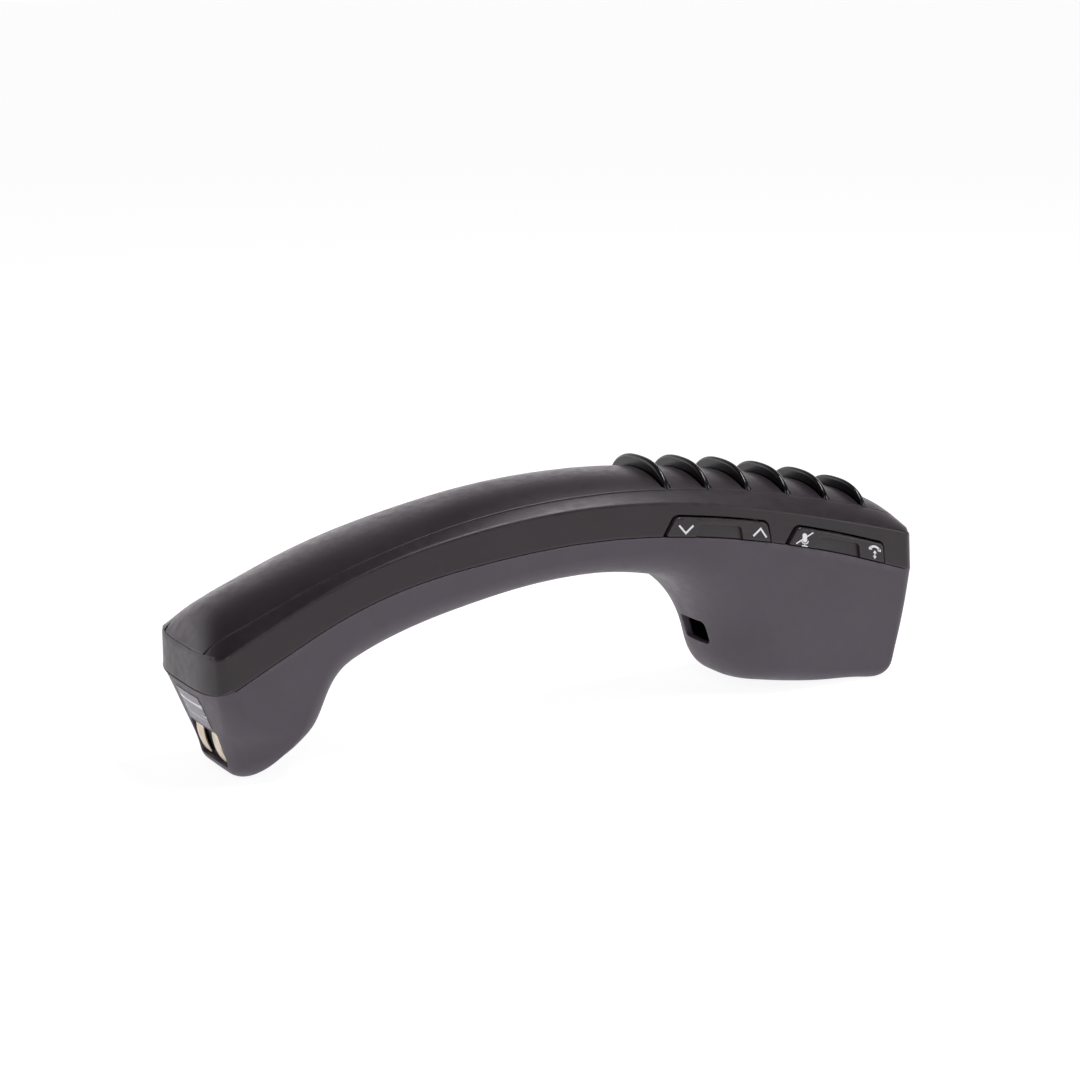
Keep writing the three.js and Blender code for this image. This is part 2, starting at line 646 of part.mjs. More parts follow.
// x of the matching point on the seam for each section, smoothed and always increasing
function seamStations(wallX) {
  const last = wallX.length - 1;
  const rising = wallX.map((_, i) => Math.max(...wallX.slice(0, i + 1)));
  const falling = wallX.map((_, i) => Math.min(...wallX.slice(i)));
  let xs = rising.map((v, i) => (v + falling[i]) / 2);
  for (let pass = 0; pass < 6; pass++) {
    xs = xs.map((v, i) => (i && i < last ? (xs[i - 1] + 2 * v + xs[i + 1]) / 4 : v));
  }
  xs[0] = wallX[0];
  xs[last] = wallX[last];
  const gap = 0.02;
  for (let i = 1; i <= last; i++) {
    xs[i] = Math.min(Math.max(xs[i], xs[i - 1] + gap), wallX[last] - gap * (last - i));
  }
  return xs;
}

// rows along the outline, columns from the +Y seam across the centre line to the -Y seam
function outerGrid(rows) {
  const sections = [];
  for (let i = 0; i < rows; i++) sections.push(outline.at(outline.length * i / (rows - 1)));
  const seamX = seamStations(sections.map((section) => section.wallX));
  return sections.map((section, i) => {
    const { half, roundY, depth, mouthBlend, earBlend } = section;
    const side = [];
    const add = (y, inward) => {
      const p = sectionPoint(section, -y, inward);
      const seam = seamZ(p.x);
      p.z += mouthBlend * (seam - OUTLINE_START[1]) + earBlend * (seam - OUTLINE_END[1]);
      side.push(p);
    };
    for (const t of [0, 0.5]) add((half - roundY) * t, 0);
    for (const t of [0, 0.28, 0.52, 0.76, 1]) {
      const a = t * Math.PI / 2;
      add(half - roundY + roundY * Math.sin(a), depth * (1 - Math.cos(a)));
    }
    const edge = side[side.length - 1];
    for (const t of [0.45, 1]) {
      const x = edge.x * (1 - t) + seamX[i] * t;
      const z = edge.z * (1 - t) + seamZ(seamX[i]) * t;
      side.push(vec(x, -sideY(x, z), z));
    }
    return [...side.slice(1).reverse().map((p) => vec(p.x, -p.y, p.z)), ...side];
  });
}

function gridNormals(grid) {
  const normals = grid.map((row) => row.map(() => vec(0, 0, 0)));
  for (let i = 0; i < grid.length - 1; i++) {
    for (let j = 0; j < grid[0].length - 1; j++) {
      const diagonal = grid[i + 1][j + 1].clone().sub(grid[i][j]);
      const normal = diagonal.cross(grid[i + 1][j].clone().sub(grid[i][j + 1]));
      for (const [di, dj] of [[0, 0], [0, 1], [1, 1], [1, 0]]) normals[i + di][j + dj].add(normal);
    }
  }
  return normals.map((row) => row.map((v) => v.normalize()));
}

const frontOuter = outerGrid(50);
const frontNormals = gridNormals(frontOuter);
// the outward normal on the centre line of the ear face (row 41, column 8) points down
const inwardSign = frontNormals[41][8].z < 0 ? -1 : 1;

// the outer grid moved inward, with its rim kept on the seam
function offsetFront(inset) {
  const last = frontOuter.length - 1;
  const mouthY = Math.abs(frontOuter[0][0].y) - inset;
  const earY = Math.abs(frontOuter[last][0].y) - inset;
  const onRim = (x, y) => vec(x, y, seamZ(x));
  return frontOuter.map((row, i) => row.map((p, j) => {
    if (i === 0) return onRim(p.x + inset, clamp(p.y, -mouthY, mouthY));
    if (i === last) return onRim(p.x - inset, Math.abs(p.y) > 17 ? clamp(p.y, -earY, earY) : p.y);
    if (j === 0 || j === row.length - 1) {
      return onRim(clamp(p.x, OUTLINE_START[2] + inset, 101.5), p.y - Math.sign(p.y) * inset);
    }
    return moved(p, frontNormals[i][j], inset * inwardSign);
  }));
}

// length along the outline where it first reaches x, searched from a start
function lengthAtX(x, start) {
  let u = start;
  while (outline.at(u).x < x) u += 0.1;
  return u;
}
// length along the outline where the mouth end first comes down to z
function lengthAtZ(z) {
  let u = 0;
  while (outline.at(u).z > z) u += 0.05;
  return u;
}

// ---------------------------------------------------------------- front housing
const RECEIVER_X = 79.5;
const HOOK_SLOT = { z: 16.2, width: 12, height: 6.5 };
const DOOR_X0 = -36;
const DOOR_X1 = 16;
const DOOR_Y = 11.4;
const DOOR_T = 1.6;
const DOOR_GAP = 0.3;
// charging recess low on the mouth end face
const CHARGE_LEN = 9.6;
const CHARGE_HALF = 8.6;

// microphone seat on the underside of the mouth cup, and the direction inward from it
const micLength = lengthAtX(-81.6, 20);
const micAt = frontPoint(micLength, 0);
const micDir = (() => {
  const a = frontPoint(micLength - 2, 0);
  const b = frontPoint(micLength + 2, 0);
  return vec(a.z - b.z, 0, b.x - a.x).normalize();
})();

const chargeTop = lengthAtZ(11.6);
const chargeBottom = lengthAtZ(3.0);
const chargeMid = frontPoint((chargeTop + chargeBottom) / 2, 0);
const chargeDir = frontPoint(chargeBottom, 0).sub(frontPoint(chargeTop, 0)).normalize();
const chargeIn = vec(-chargeDir.z, 0, chargeDir.x)
  .multiplyScalar(-chargeDir.z < 0 ? -1 : 1);
// box laid along the mouth end face: ranges along the face, across y and in depth
function chargeBox(alongRange, yRange, depthRange) {
  const at = (y, depth, along) => (
    moved(moved(chargeMid, chargeDir, along), chargeIn, depth).setY(y));
  return slantedBox(at, yRange, depthRange, alongRange);
}

// three rings of holes under the receiver: radius, count, phase
function soundHoles() {
  return [[0, 1, 0], [4.2, 6, 0], [8.4, 12, 0.26]].flatMap(([radius, count, phase]) => (
    Array.from({ length: count }, (_, i) => {
      const a = phase + i / count * Math.PI * 2;
      const x = RECEIVER_X + radius * Math.cos(a);
      const y = radius * Math.sin(a);
      return rod(vec(x, y, -3), vec(x, y, 6), 0.9, 6);
    })));
}

// everything above the front's rim line near one end
function rimTrim(x0, x1) {
  const line = [];
  for (let i = 0; i <= 13; i++) {
    const x = x0 + (x1 - x0) * i / 13;
    line.push([x, seamZ(x) + 0.05]);
  }
  return prismXZ([...line, [x1, 52], [x0, 52]], -30, 30);
}

function hollowPost(top, up, { radius, length, bore, boreDepth }) {
  return cut(
    rod(top, moved(top, up, -length), radius, 12),
    rod(moved(top, up, 1), moved(top, up, -boreDepth), bore, 10));
}

// solid that ends inside the wall, used to trim the posts
function postLimit() {
  const grid = offsetFront(0.6);
  const lid = grid.map((row) => row.map((p) => (
    vec(p.x, p.y * 0.999, Math.max(p.z, seamZ(p.x) + 4)))));
  return gridShell(grid, lid);
}

function frontHousing() {
  let g = gridShell(frontOuter, offsetFront(WALL));
  // the rim stays below the seam where it wraps round the ends
  g = cut(g, rimTrim(-108, -92));
  g = cut(g, rimTrim(95, 112));
  const screwPost = { radius: 2.9, length: 44, bore: SCREW_R + 0.3, boreDepth: 10 };
  const boardPost = { radius: 2.4, length: 29.7, bore: 1.2, boreDepth: 6.7 };
  const posts = [
    ...SCREWS.map(({ at, up }) => hollowPost(moved(at, up, -1.9), up, screwPost)),
    ...BOARD_POSTS.map(([x, y]) => hollowPost(vec(x, y, BOARD_Z - 0.3), vec(0, 0, 1), boardPost)),
  ];
  const limit = postLimit();
  for (const post of posts) g = join(g, common(post, limit));
  const { z, width: slotW, height: slotH } = HOOK_SLOT;
  const doorY = DOOR_Y + DOOR_GAP;
  return cut(
    g,
    ...soundHoles(),
    box(30, 62, -slotW / 2, slotW / 2, z - slotH / 2, z + slotH / 2),
    rod(moved(micAt, micDir, -3), moved(micAt, micDir, 3), 1.0, 8),
    chargeBox([-CHARGE_LEN / 2, CHARGE_LEN / 2], [-CHARGE_HALF, CHARGE_HALF], [-4, 4.5]),
    box(DOOR_X0 - DOOR_GAP, DOOR_X1 + DOOR_GAP, -doorY, doorY, 30, 45));
}

// ---------------------------------------------------------------- battery door
const handleStart = lengthAtX(-60, 45);
// height of the handle's underside on the centre line
const underZ = (x) => outline.at(lengthAtX(x, handleStart)).z;

function batteryDoor() {
  const rings = [];
  for (let i = 0; i <= 12; i++) {
    const x = DOOR_X0 + (DOOR_X1 - DOOR_X0) * i / 12;
    const z = underZ(x);
    rings.push([
      vec(x, -DOOR_Y, z), vec(x, DOOR_Y, z),
      vec(x, DOOR_Y, z + DOOR_T), vec(x, -DOOR_Y, z + DOOR_T),
    ]);
  }
  let g = loft(rings);
  // two hooks at the mouth side reach over the housing floor
  const z0 = underZ(DOOR_X0);
  for (const y of [-7.5, 4.5]) {
    g = join(
      g,
      box(DOOR_X0 + 0.2, DOOR_X0 + 1.6, y, y + 3, z0 + 1.0, z0 + 3.6),
      box(DOOR_X0 - 2.4, DOOR_X0 + 1.6, y, y + 3, z0 + 2.5, z0 + 3.6));
  }
  // two shallow grooves across the outside at the ear side
  const grooves = [6.4, 4].map((back) => {
    const x = DOOR_X1 - back;
    return box(x - 0.6, x + 0.6, -6, 6, 30, underZ(x) + 0.5);
  });
  return cut(g, ...grooves);
}

// ---------------------------------------------------------------- rockers and switches
const PIN_R = 0.65;
const PIN_HOLE_R = 0.95;
const PIN_Y = -16.35;
const KEY_MID = 2.9;           // mid height of the caps and switches above the seam
const PLUNGER_Y0 = -17.3;
const PLUNGER_Y1 = -14.75;
const SWITCH_Y0 = -15.5;
const SWITCH_Y1 = -13.5;
const KEY_BOARD_Y1 = -12.7;

// adds a rocker's middle x and at(along, height, y), a point in its slanted directions
function withFrame(shape) {
  const cx = (shape.cap[0][0] + shape.cap[1][0]) / 2;
  const slope = (seamZ(cx + 12) - seamZ(cx - 12)) / 24;
  const { x: dx, z: dz } = vec(1, 0, slope).normalize();
  const at = (a, h, y) => vec(cx + dx * a - dz * h, y, seamZ(cx) + dz * a + dx * h);
  return { ...shape, cx, at };
}
const volumeKey = withFrame(VOLUME);
const muteHookKey = withFrame(MUTE_HOOK);

const faceY = (x) => -width(x) / 2;
// outline set at a depth from the curved -Y side wall
const onSide = (points, depth) => points.map(([x, z]) => vec(x, faceY(x) + depth, z));
const pinRod = (key, h0, h1, radius) => rod(key.at(0, h0, PIN_Y), key.at(0, h1, PIN_Y), radius, 10);

function rocker(key) {
  const { cx, at, arm } = key;
  const outer = onSeam(key.cap);
  const cz = seamZ(cx) + KEY_MID;
  const small = outer.map(([x, z]) => [cx + (x - cx) * 0.978, cz + (z - cz) * 0.9]);
  const back = ROCKER_T - ROCKER_PROUD;
  const cap = loft([
    onSide(small, -ROCKER_PROUD), onSide(outer, -ROCKER_PROUD + 0.45), onSide(outer, back),
  ], { flat: small });
  const recess = onSeam(key.recess);
  const recessTool = loft(
    [onSide(recess, -3), onSide(recess, -ROCKER_PROUD + 0.9)], { flat: recess });
  // pivot lug and the two nubs that press the switches
  const lug = slantedBox(at, [-1.9, 1.9], [0.9, 4.0], [faceY(cx) + back - 0.5, PIN_Y + 1.35]);
  const nubs = [-arm, arm].map((a) => slantedBox(
    at, [a - 0.9, a + 0.9], [KEY_MID - 1, KEY_MID + 1],
    [faceY(cx + a) + back - 0.5, PLUNGER_Y0 - 0.12]));
  return cut(join(cut(cap, recessTool), lug, ...nubs), pinRod(key, -2, 8, PIN_HOLE_R));
}

// strip in x-z between two heights above the seam
const seamStrip = (xs, low, high) => [
  ...xs.map((x) => [x, seamZ(x) + low]),
  ...xs.toReversed().map((x) => [x, seamZ(x) + high]),
];

// strip below the switches with a foot, two ears and a bridge for each pin
function keyBracket() {
  let g = prismXZ(seamStrip([30, 42, 52, 62, 72, 82, 90], -4.2, -2.9), -17.4, -12.6);
  for (const key of [volumeKey, muteHookKey]) {
    g = join(
      g,
      slantedBox(key.at, [-2.6, 2.6], [-4.0, 0.5], [-17.4, -15.0]),
      slantedBox(key.at, [-2.9, -2.25], [-4.0, 5.3], [-15.6, -13.85]),
      slantedBox(key.at, [2.25, 2.9], [-4.0, 5.3], [-15.6, -13.85]),
      slantedBox(key.at, [-2.9, 2.9], [4.35, 5.3], [-17.3, -13.85]));
    g = cut(g, pinRod(key, -1.6, 8, PIN_R + 0.15));
  }
  return g;
}

function keyBoard() {
  const strip = seamStrip([27, 36, 46, 56, 66, 76, 86, 93], -2.6, 4.6);
  return prismXZ(strip, SWITCH_Y1 + 0.02, KEY_BOARD_Y1);
}

const switchRod = (key, a, y0, y1, radius) => (
  rod(key.at(a, KEY_MID, y0), key.at(a, KEY_MID, y1), radius, 10));

function switchBody(key, a) {
  const heights = [KEY_MID - 2, KEY_MID + 2];
  return cut(
    slantedBox(key.at, [a - 2.2, a + 2.2], heights, [SWITCH_Y0, SWITCH_Y1]),
    switchRod(key, a, -20, SWITCH_Y1 - 0.35, 1.15));
}

put('front_housing', frontHousing(), FINISH.front);
put('rear_frame', rearFrame(), FINISH.back);
put('rear_panel', rearPanel(), FINISH.back);
put('rib_insert', ribInsert(), FINISH.rib);
put('battery_door', batteryDoor(), FINISH.front);
put('volume_rocker', rocker(volumeKey), FINISH.key);
put('mute_hook_rocker', rocker(muteHookKey), FINISH.key);
put('volume_pivot_pin', pinRod(volumeKey, -1.3, 5.2, PIN_R), FINISH.steel);
put('mute_hook_pivot_pin', pinRod(muteHookKey, -1.3, 5.2, PIN_R), FINISH.steel);
put('key_bracket', keyBracket(), FINISH.inner);
put('key_board', keyBoard(), FINISH.board);
for (const [name, key, side] of [
  ['volume_down', volumeKey, -1], ['volume_up', volumeKey, 1],
  ['mute', muteHookKey, -1], ['hook', muteHookKey, 1],
]) {
  const a = side * key.arm;
  put(`${name}_switch`, switchBody(key, a), FINISH.inner);
  put(`${name}_plunger`, switchRod(key, a, PLUNGER_Y0, PLUNGER_Y1, 0.85), FINISH.white);
}

// ---------------------------------------------------------------- screws and main board
function housingScrew({ at, up }) {
  const level = (h) => moved(at, up, 0.05 + h);
  const shank = rod(level(0.3), level(-8.5), SCREW_R, 10, SCREW_R * 0.9);
  const head = rod(level(0), level(1.4), SCREW_HEAD_R, 14);
  return cut(join(shank, head), rod(level(0.6), level(2.4), 0.7, 6));
}
SCREWS.forEach((screw, i) => put(`housing_screw_${i + 1}`, housingScrew(screw), FINISH.steel));

function mainBoard() {
  const holes = BOARD_POSTS.map(([x, y]) => rod(vec(x, y, 45), vec(x, y, 55), 1.5, 10));
  // clearance for the rocker bracket along the -Y edge
  const notch = box(26, 60, -20, -11.9, 45, 55);
  return cut(box(-47, 57, -13.4, 13.4, BOARD_Z, BOARD_TOP), ...holes, notch);
}
put('main_board', mainBoard(), FINISH.board);

function boardScrew([x, y]) {
  const upright = (h0, h1, radius, sides) => (
    rod(vec(x, y, BOARD_TOP + h0), vec(x, y, BOARD_TOP + h1), radius, sides));
  const body = join(upright(-6.5, 0.3, 1.0, 10), upright(0.05, 1.2, 2.0, 12));
  return cut(body, upright(0.6, 2, 0.6, 6));
}
BOARD_POSTS.forEach((post, i) => put(`board_screw_${i + 1}`, boardScrew(post), FINISH.steel));
put('radio_shield', box(-2, 20, -9, 9, BOARD_TOP + 0.02, BOARD_TOP + 2.4), FINISH.steel);
put('antenna', box(62, 84, -7, 7, 45.6, 46.4), FINISH.board);

// ---------------------------------------------------------------- battery
// lithium pack with rounded long edges, in the bay over the door
function batteryPack() {
  const r = 2.4;
  const y = 10.2 - r;
  const z0 = 42.0 + r;
  const z1 = 48.6 - r;
  const flat = [[y, z1, 0], [-y, z1, 90], [-y, z0, 180], [y, z0, 270]]
    .flatMap(([cy, cz, start]) => [0, 30, 60, 90].map((turn) => {
      const a = (start + turn) * Math.PI / 180;
      return [cy + r * Math.cos(a), cz + r * Math.sin(a)];
    }));
  return loft([-31.5, 11].map((x) => flat.map((p) => vec(x, ...p))));
}
put('battery_pack', batteryPack(), FINISH.cell);
put('battery_connector', box(16, 21, -4, 4, 46.4, BOARD_Z - 0.02), FINISH.white);
put('battery_lead', wire([
  vec(11.4, 0, 45.2), vec(13, 0, 45), vec(14.2, 0, 46.2), vec(14.9, 0, 47.6),
], 0.9, 6), FINISH.wire);

// ---------------------------------------------------------------- earpiece
const LEAD_R = 0.8;
const LEAD_END_Z = BOARD_Z - 1.1; // where the mouth-end leads stop under the board
{
  const up = vec(0.058, 0, 1).normalize();
  const at = (h) => moved(vec(RECEIVER_X, 0, 2.95), up, h);
  const gasket = [[12.8, 0], [15.8, 0], [15.8, 1.6], [12.8, 1.6], [12.8, 0]];
  const receiver = [[0, 0], [15.4, 0], [15.4, 2.4], [11, 3.4], [11, 7], [0, 7]];
  put('receiver_cloth', rod(at(0), at(0.35), 12.2, 28), FINISH.cloth);
  put('receiver_gasket', turned(gasket, at(0.05), up, 28), FINISH.rubber);
  put('receiver', turned(receiver, at(1.95), up, 28), FINISH.speaker);
  put('receiver_lead', wire([
    vec(77, 0, 12.6), vec(73, 0, 17), vec(62, 0, 28), vec(56, 0, 40), vec(52, 0, 47),
    vec(52, 0, BOARD_Z - 0.3),
  ], LEAD_R, 12), FINISH.wire);
}

// ---------------------------------------------------------------- microphone
{
  const at = (h) => moved(micAt, micDir, h);
  const boot = [
    [0, 8.4], [6.4, 8.4], [6.4, 0], [1.6, 0], [1.6, 1.2], [5.1, 1.2], [5.1, 7.2], [0, 7.2]];
  const capsule = [[0, 0], [4.75, 0], [4.75, 5.2], [0, 5.2]];
  put('microphone_boot', turned(boot, at(2.35), micDir, 20), FINISH.rubber);
  put('microphone', turned(capsule, at(3.85), micDir, 20), FINISH.speaker);
  put('microphone_lead', wire([
    at(11.2), at(11.2).add(vec(1, 0, 5)), vec(-74, 0, 30), vec(-64, 3, 39), vec(-54, 6, 45.5),
    vec(-48, 7, 48.6), vec(-44.5, 7, LEAD_END_Z),
  ], LEAD_R, 14), FINISH.wire);
}

// ---------------------------------------------------------------- charging contacts
{
  const len = CHARGE_LEN / 2 - 0.3;
  const half = CHARGE_HALF - 0.3;
  put('contact_block', chargeBox([-len, len], [-half, half], [1.6, 3.6]), FINISH.inner);
  for (const [name, y] of [['near', -5.2], ['far', 5.2]]) {
    const contact = chargeBox([-4.2, 4.2], [y - 2.5, y + 2.5], [0.7, 1.2]);
    put(`charge_contact_${name}`, contact, FINISH.gold);
  }
  const start = moved(chargeMid, chargeIn, 4.0);
  put('charge_lead', wire([
    start.clone().add(vec(0.6, -7.2, 1)), start.clone().add(vec(3, -8, 6)), vec(-84, -7, 27),
    vec(-74, -7, 34), vec(-62, -7, 42), vec(-52, -7, 48), vec(-45.5, -7, LEAD_END_Z),
  ], LEAD_R, 14), FINISH.wire);
}

// label on the mouth end face, above the charging recess
function endLabel() {
  const top = lengthAtZ(21.5);
  const bottom = lengthAtZ(12.9);
  const layer = (out) => [0, 0.25, 0.5, 0.75, 1].map((t) => (
    [-7, -3.5, 0, 3.5, 7].map((y) => frontPoint(top + (bottom - top) * t, y, out))));
  return gridShell(layer(0.32), layer(0.1));
}
put('end_label', endLabel(), FINISH.label);

group.position.x = X_SHIFT;
export default group;
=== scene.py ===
"""Looks of a cordless telephone handset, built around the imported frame.

The handset lies along X, mouth end at -X and ear end at +X, with its rear face up (+Z), its
front housing below and its two rocker keys on the -Y side. Shapes are drawn in millimetres,
in a zero X_SHIFT along from the frame's origin; make() shifts them and turns them into metres."""
import json
import math
import bpy
import bmesh
import numpy as np
from mathutils import Matrix, Vector
from mathutils.bvhtree import BVHTree


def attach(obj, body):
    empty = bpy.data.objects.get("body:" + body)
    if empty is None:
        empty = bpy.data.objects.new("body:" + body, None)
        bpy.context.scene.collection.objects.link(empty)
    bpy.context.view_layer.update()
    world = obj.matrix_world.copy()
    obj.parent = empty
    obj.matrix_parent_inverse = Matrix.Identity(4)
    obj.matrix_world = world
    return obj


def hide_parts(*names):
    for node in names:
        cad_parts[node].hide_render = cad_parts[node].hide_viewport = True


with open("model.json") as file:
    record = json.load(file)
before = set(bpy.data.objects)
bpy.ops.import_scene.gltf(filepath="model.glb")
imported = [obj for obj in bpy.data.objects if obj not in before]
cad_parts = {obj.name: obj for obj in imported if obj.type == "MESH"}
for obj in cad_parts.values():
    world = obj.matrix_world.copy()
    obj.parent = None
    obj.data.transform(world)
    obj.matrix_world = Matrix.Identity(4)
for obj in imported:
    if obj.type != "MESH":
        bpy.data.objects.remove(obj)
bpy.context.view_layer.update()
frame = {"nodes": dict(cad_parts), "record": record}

SCENE = bpy.context.scene
X_SHIFT = -2.1

# ------------------------------------------------------------------ main sizes
X_MOUTH, X_EAR = -102.1, 106.3  # ends of the rear frame
BULGE_MOUTH, BULGE_EAR = 3.2, 2.3  # how far each end bows in plan
CORNER_R = 2.2  # plan corners of the rear frame
CREASE_IN = 0.5  # the crease lies this far in from the side
CROWN_EXP = 2.3
SEAM_GAP, LIP = 0.16, 0.22  # gap and edge rounding where the two shells meet
RIM = 0.42  # rear frame left at each end of the rear panel
WALL = 1.8  # front housing
RIB_X = [29.5, 42.3, 55.1, 67.9, 80.6, 93.0]
DOOR_X0, DOOR_X1, DOOR_Y = -36.0, 16.0, 11.4  # battery door: ends and half width
PROUD, CAP_T = 0.5, 2.1  # key caps: height above the side, thickness

# Rocker keys. Corners are x, height above the seam, corner radius.
# span: ends of the key's pivot frame; arm: distance from the pivot to each nub.
KEYS = {
    "volume_rocker": dict(
        span=(25.6, 57.6), arm=12.5,
        cap=[(25.75, 0.30, 0.35), (57.75, 0.30, 0.4), (56.75, 5.45, 1.5), (28.9, 5.45, 2.2)],
        pocket=[(24.9, -2.5, 0.1), (58.35, -2.5, 0.1), (58.35, 0.3, 1.0),
                (57.35, 5.95, 1.9), (28.35, 5.95, 2.6), (24.95, 0.3, 1.0)],
        recess=[(33.9, -1.2, 0.2), (49.35, -1.2, 0.2), (48.5, 3.75, 1.0), (35.75, 3.75, 1.2)]),
    "mute_hook_rocker": dict(
        span=(63.5, 94.2), arm=12.0,
        cap=[(63.5, 0.30, 0.35), (94.2, 0.30, 0.35), (93.9, 5.55, 1.0), (66.6, 5.45, 2.2)],
        pocket=[(62.4, -2.5, 0.1), (94.65, -2.5, 0.1), (94.75, 0.3, 1.0),
                (94.4, 6.05, 1.3), (66.0, 5.95, 2.6), (62.5, 0.3, 1.0)],
        recess=[(71.7, -1.2, 0.2), (86.55, -1.2, 0.2), (85.9, 4.0, 1.0), (73.5, 3.85, 1.2)]),
}


def table(text):
    return np.array([[float(v) for v in row.split()] for row in text.split(";")])


# x, full width
WIDTH = table("-110 40.3;-100 40;-60 38.8;0 38;50 40;105 42.6;115 43")
# x, height of the seam between front housing and rear frame
SEAM_Z = table("""-103 23.9;-99.6 24;-98 24.65;-90 28.45;-80 33.3;-70 37.9;-60 41.6;
-50 44.35;-40 46.25;-30 47.55;-20 48.55;-10 49.2;0 49.5;10 49.35;20 48.75;30 47.7;40 46.28;
50 44.49;60 42.34;70 39.85;80 37.05;90 33.9;98 31.2;103 29.5;107 28.7""")
# x, height of the crease between side and rear face
CREASE_Z = table("""-103 32.8;-99.6 33.3;-98 34.1;-90 37.7;-80 42.4;-70 46.6;-60 50;-50 52.7;
-40 54.7;-30 56.2;-20 57.35;-10 58.1;0 58.4;10 58.26;20 57.67;30 56.6;40 55.1;50 53.2;
60 51.02;70 48.66;80 46.2;90 43.6;98 41.4;103 39.9;107 38.8""")
# x, rise of the rear face's middle above the crease
CROWN = table("""-102.1 .1;-101.6 .7;-100.5 2.5;-99 4.3;-97 5.8;-94 6.6;-90 6.6;-80 5.6;
-65 4.7;-50 4.4;-20 5.6;10 6.2;40 6.6;65 7.6;85 7.6;93 7.1;98 6.8;102 5.9;104.3 4.3;
105.6 2.2;106.3 .3;107 .3""")
# x, half width of the rear panel's opening
PANEL_Y = table("""-103 11.6;-101.9 12.1;-100.4 13;-98.5 14;-96.3 14.7;-93.6 15;-88 15.4;
-80 15.4;-70 15.5;-58 15.5;-43 15.1;-30 14.8;-10 14.8;20 14.7;43 14.2;56 14;70 13.8;
95 13.8;107 13.6""")
# Front housing from mouth to ear: middle line x, z; side wall x, z; rounding width; bow in plan
OUTLINE = table("""-102.1 24 -96.8 25.2 2.4 3.0; -100.3 19.7 -94.4 20.8 4.2 2.4;
-97.7 13.2 -88.9 15.2 7.4 1.8; -95.9 7.6 -82.5 12 12 .9; -94.9 4.2 -81.8 11 12 .7;
-93.9 1.5 -81.3 10.5 12 .5; -91.2 .2 -81 10.3 12 .3; -87.5 2.2 -80.5 10.2 11 0;
-82 5.2 -79.6 11.2 10.5 0; -76.8 8.3 -78.4 13.2 10.5 0; -73 11.2 -77.2 15.8 11 0;
-70.2 15 -75.8 19.2 13 0; -67.8 19.7 -73.6 24.2 13.5 0; -64.8 24.1 -69.6 29.8 12 0;
-59.5 27.6 -62.8 34 10 0; -50 31.4 -52 38.1 8.5 0; -40 34.2 -41.6 40.6 8 0;
-28 36.7 -29.2 42.8 7.5 0; -14 38.8 -14.6 44.7 7.5 0; 0 39.7 0 45.7 7.5 0;
12 39.2 12.7 45.6 8 0; 23 37.1 25.2 44.8 10.5 0; 32.9 33.6 37.4 41.6 14 0;
40.2 27.4 49 35.4 17 0; 44.5 20.8 56.2 27.2 18 0; 47 13.8 60.2 19 18.5 0;
48.8 7.8 62 12.4 18.5 0; 52 3.9 63.2 8.8 17.5 0; 58.5 2.2 65.2 6.8 14 0;
67 1.4 69.6 5.6 9 0; 78 .75 78.6 4.2 5 0; 89 .2 89 3 3.4 0; 96.2 0 95.6 2.6 3 .2;
98.9 1.5 97.1 3.6 3 .8; 100.9 5.6 97.9 6.5 2.8 1.4; 103.2 13.2 99.1 13.6 2.6 1.9;
105 21.2 100.4 21.4 2.5 2.2; 106.3 28.8 101.6 29.96 2.4 2.3""")


# ------------------------------------------------------------------ curves
def pchip(x, y):
    """Monotone cubic through the points, running on straight beyond the ends."""
    h = np.diff(x)
    d = np.diff(y) / h
    m = np.zeros(len(x))
    for i in range(1, len(x) - 1):
        if d[i - 1] * d[i] > 0:
            a, b = 2 * h[i] + h[i - 1], h[i] + 2 * h[i - 1]
            m[i] = (a + b) / (a / d[i - 1] + b / d[i])
    m[0], m[-1] = d[0], d[-1]

    def curve(q):
        q = np.asarray(q, float)
        i = np.clip(np.searchsorted(x, q, side="left") - 1, 0, len(x) - 2)
        t = (q - x[i]) / h[i]
        t2, t3 = t * t, t * t * t
        v = ((2 * t3 - 3 * t2 + 1) * y[i] + (t3 - 2 * t2 + t) * h[i] * m[i]
             + (-2 * t3 + 3 * t2) * y[i + 1] + (t3 - t2) * h[i] * m[i + 1])
        v = np.where(q < x[0], y[0] + m[0] * (q - x[0]), v)
        return np.where(q > x[-1], y[-1] + m[-1] * (q - x[-1]), v)

    return curve


def natural(x, y):
    """Natural cubic spline through the points."""
    n = len(x)
    h = np.diff(x)
    A = np.zeros((n, n))
    r = np.zeros(n)
    A[0, 0] = A[-1, -1] = 1
    for i in range(1, n - 1):
        A[i, i - 1 : i + 2] = h[i - 1], 2 * (h[i - 1] + h[i]), h[i]
        r[i] = 6 * ((y[i + 1] - y[i]) / h[i] - (y[i] - y[i - 1]) / h[i - 1])
    M = np.linalg.solve(A, r)

    def curve(q):
        q = np.asarray(q, float)
        i = np.clip(np.searchsorted(x, q, side="left") - 1, 0, n - 2)
        a, b = (x[i + 1] - q) / h[i], (q - x[i]) / h[i]
        bend = ((a**3 - a) * M[i] + (b**3 - b) * M[i + 1]) * h[i] * h[i] / 6
        return a * y[i] + b * y[i + 1] + bend

    return curve


def smoothed(curve, x0, x1, sigma, step=0.2):
    """The curve sampled and blurred a little, so that reflections run without kinks."""
    k = int(math.ceil(3 * sigma / step))
    w = np.exp(-0.5 * (np.arange(-k, k + 1) * step / sigma) ** 2)
    w /= w.sum()
    q = np.arange(x0, x1 + step / 2, step)
    v = np.convolve(np.pad(curve(q), k, mode="reflect", reflect_type="odd"), w, "valid")
    return lambda p: np.interp(p, q, v)


def from_rows(rows, sigma, margin=6):
    x, y = rows.T
    return smoothed(pchip(x, y), x[0] - margin, x[-1] + margin, sigma)


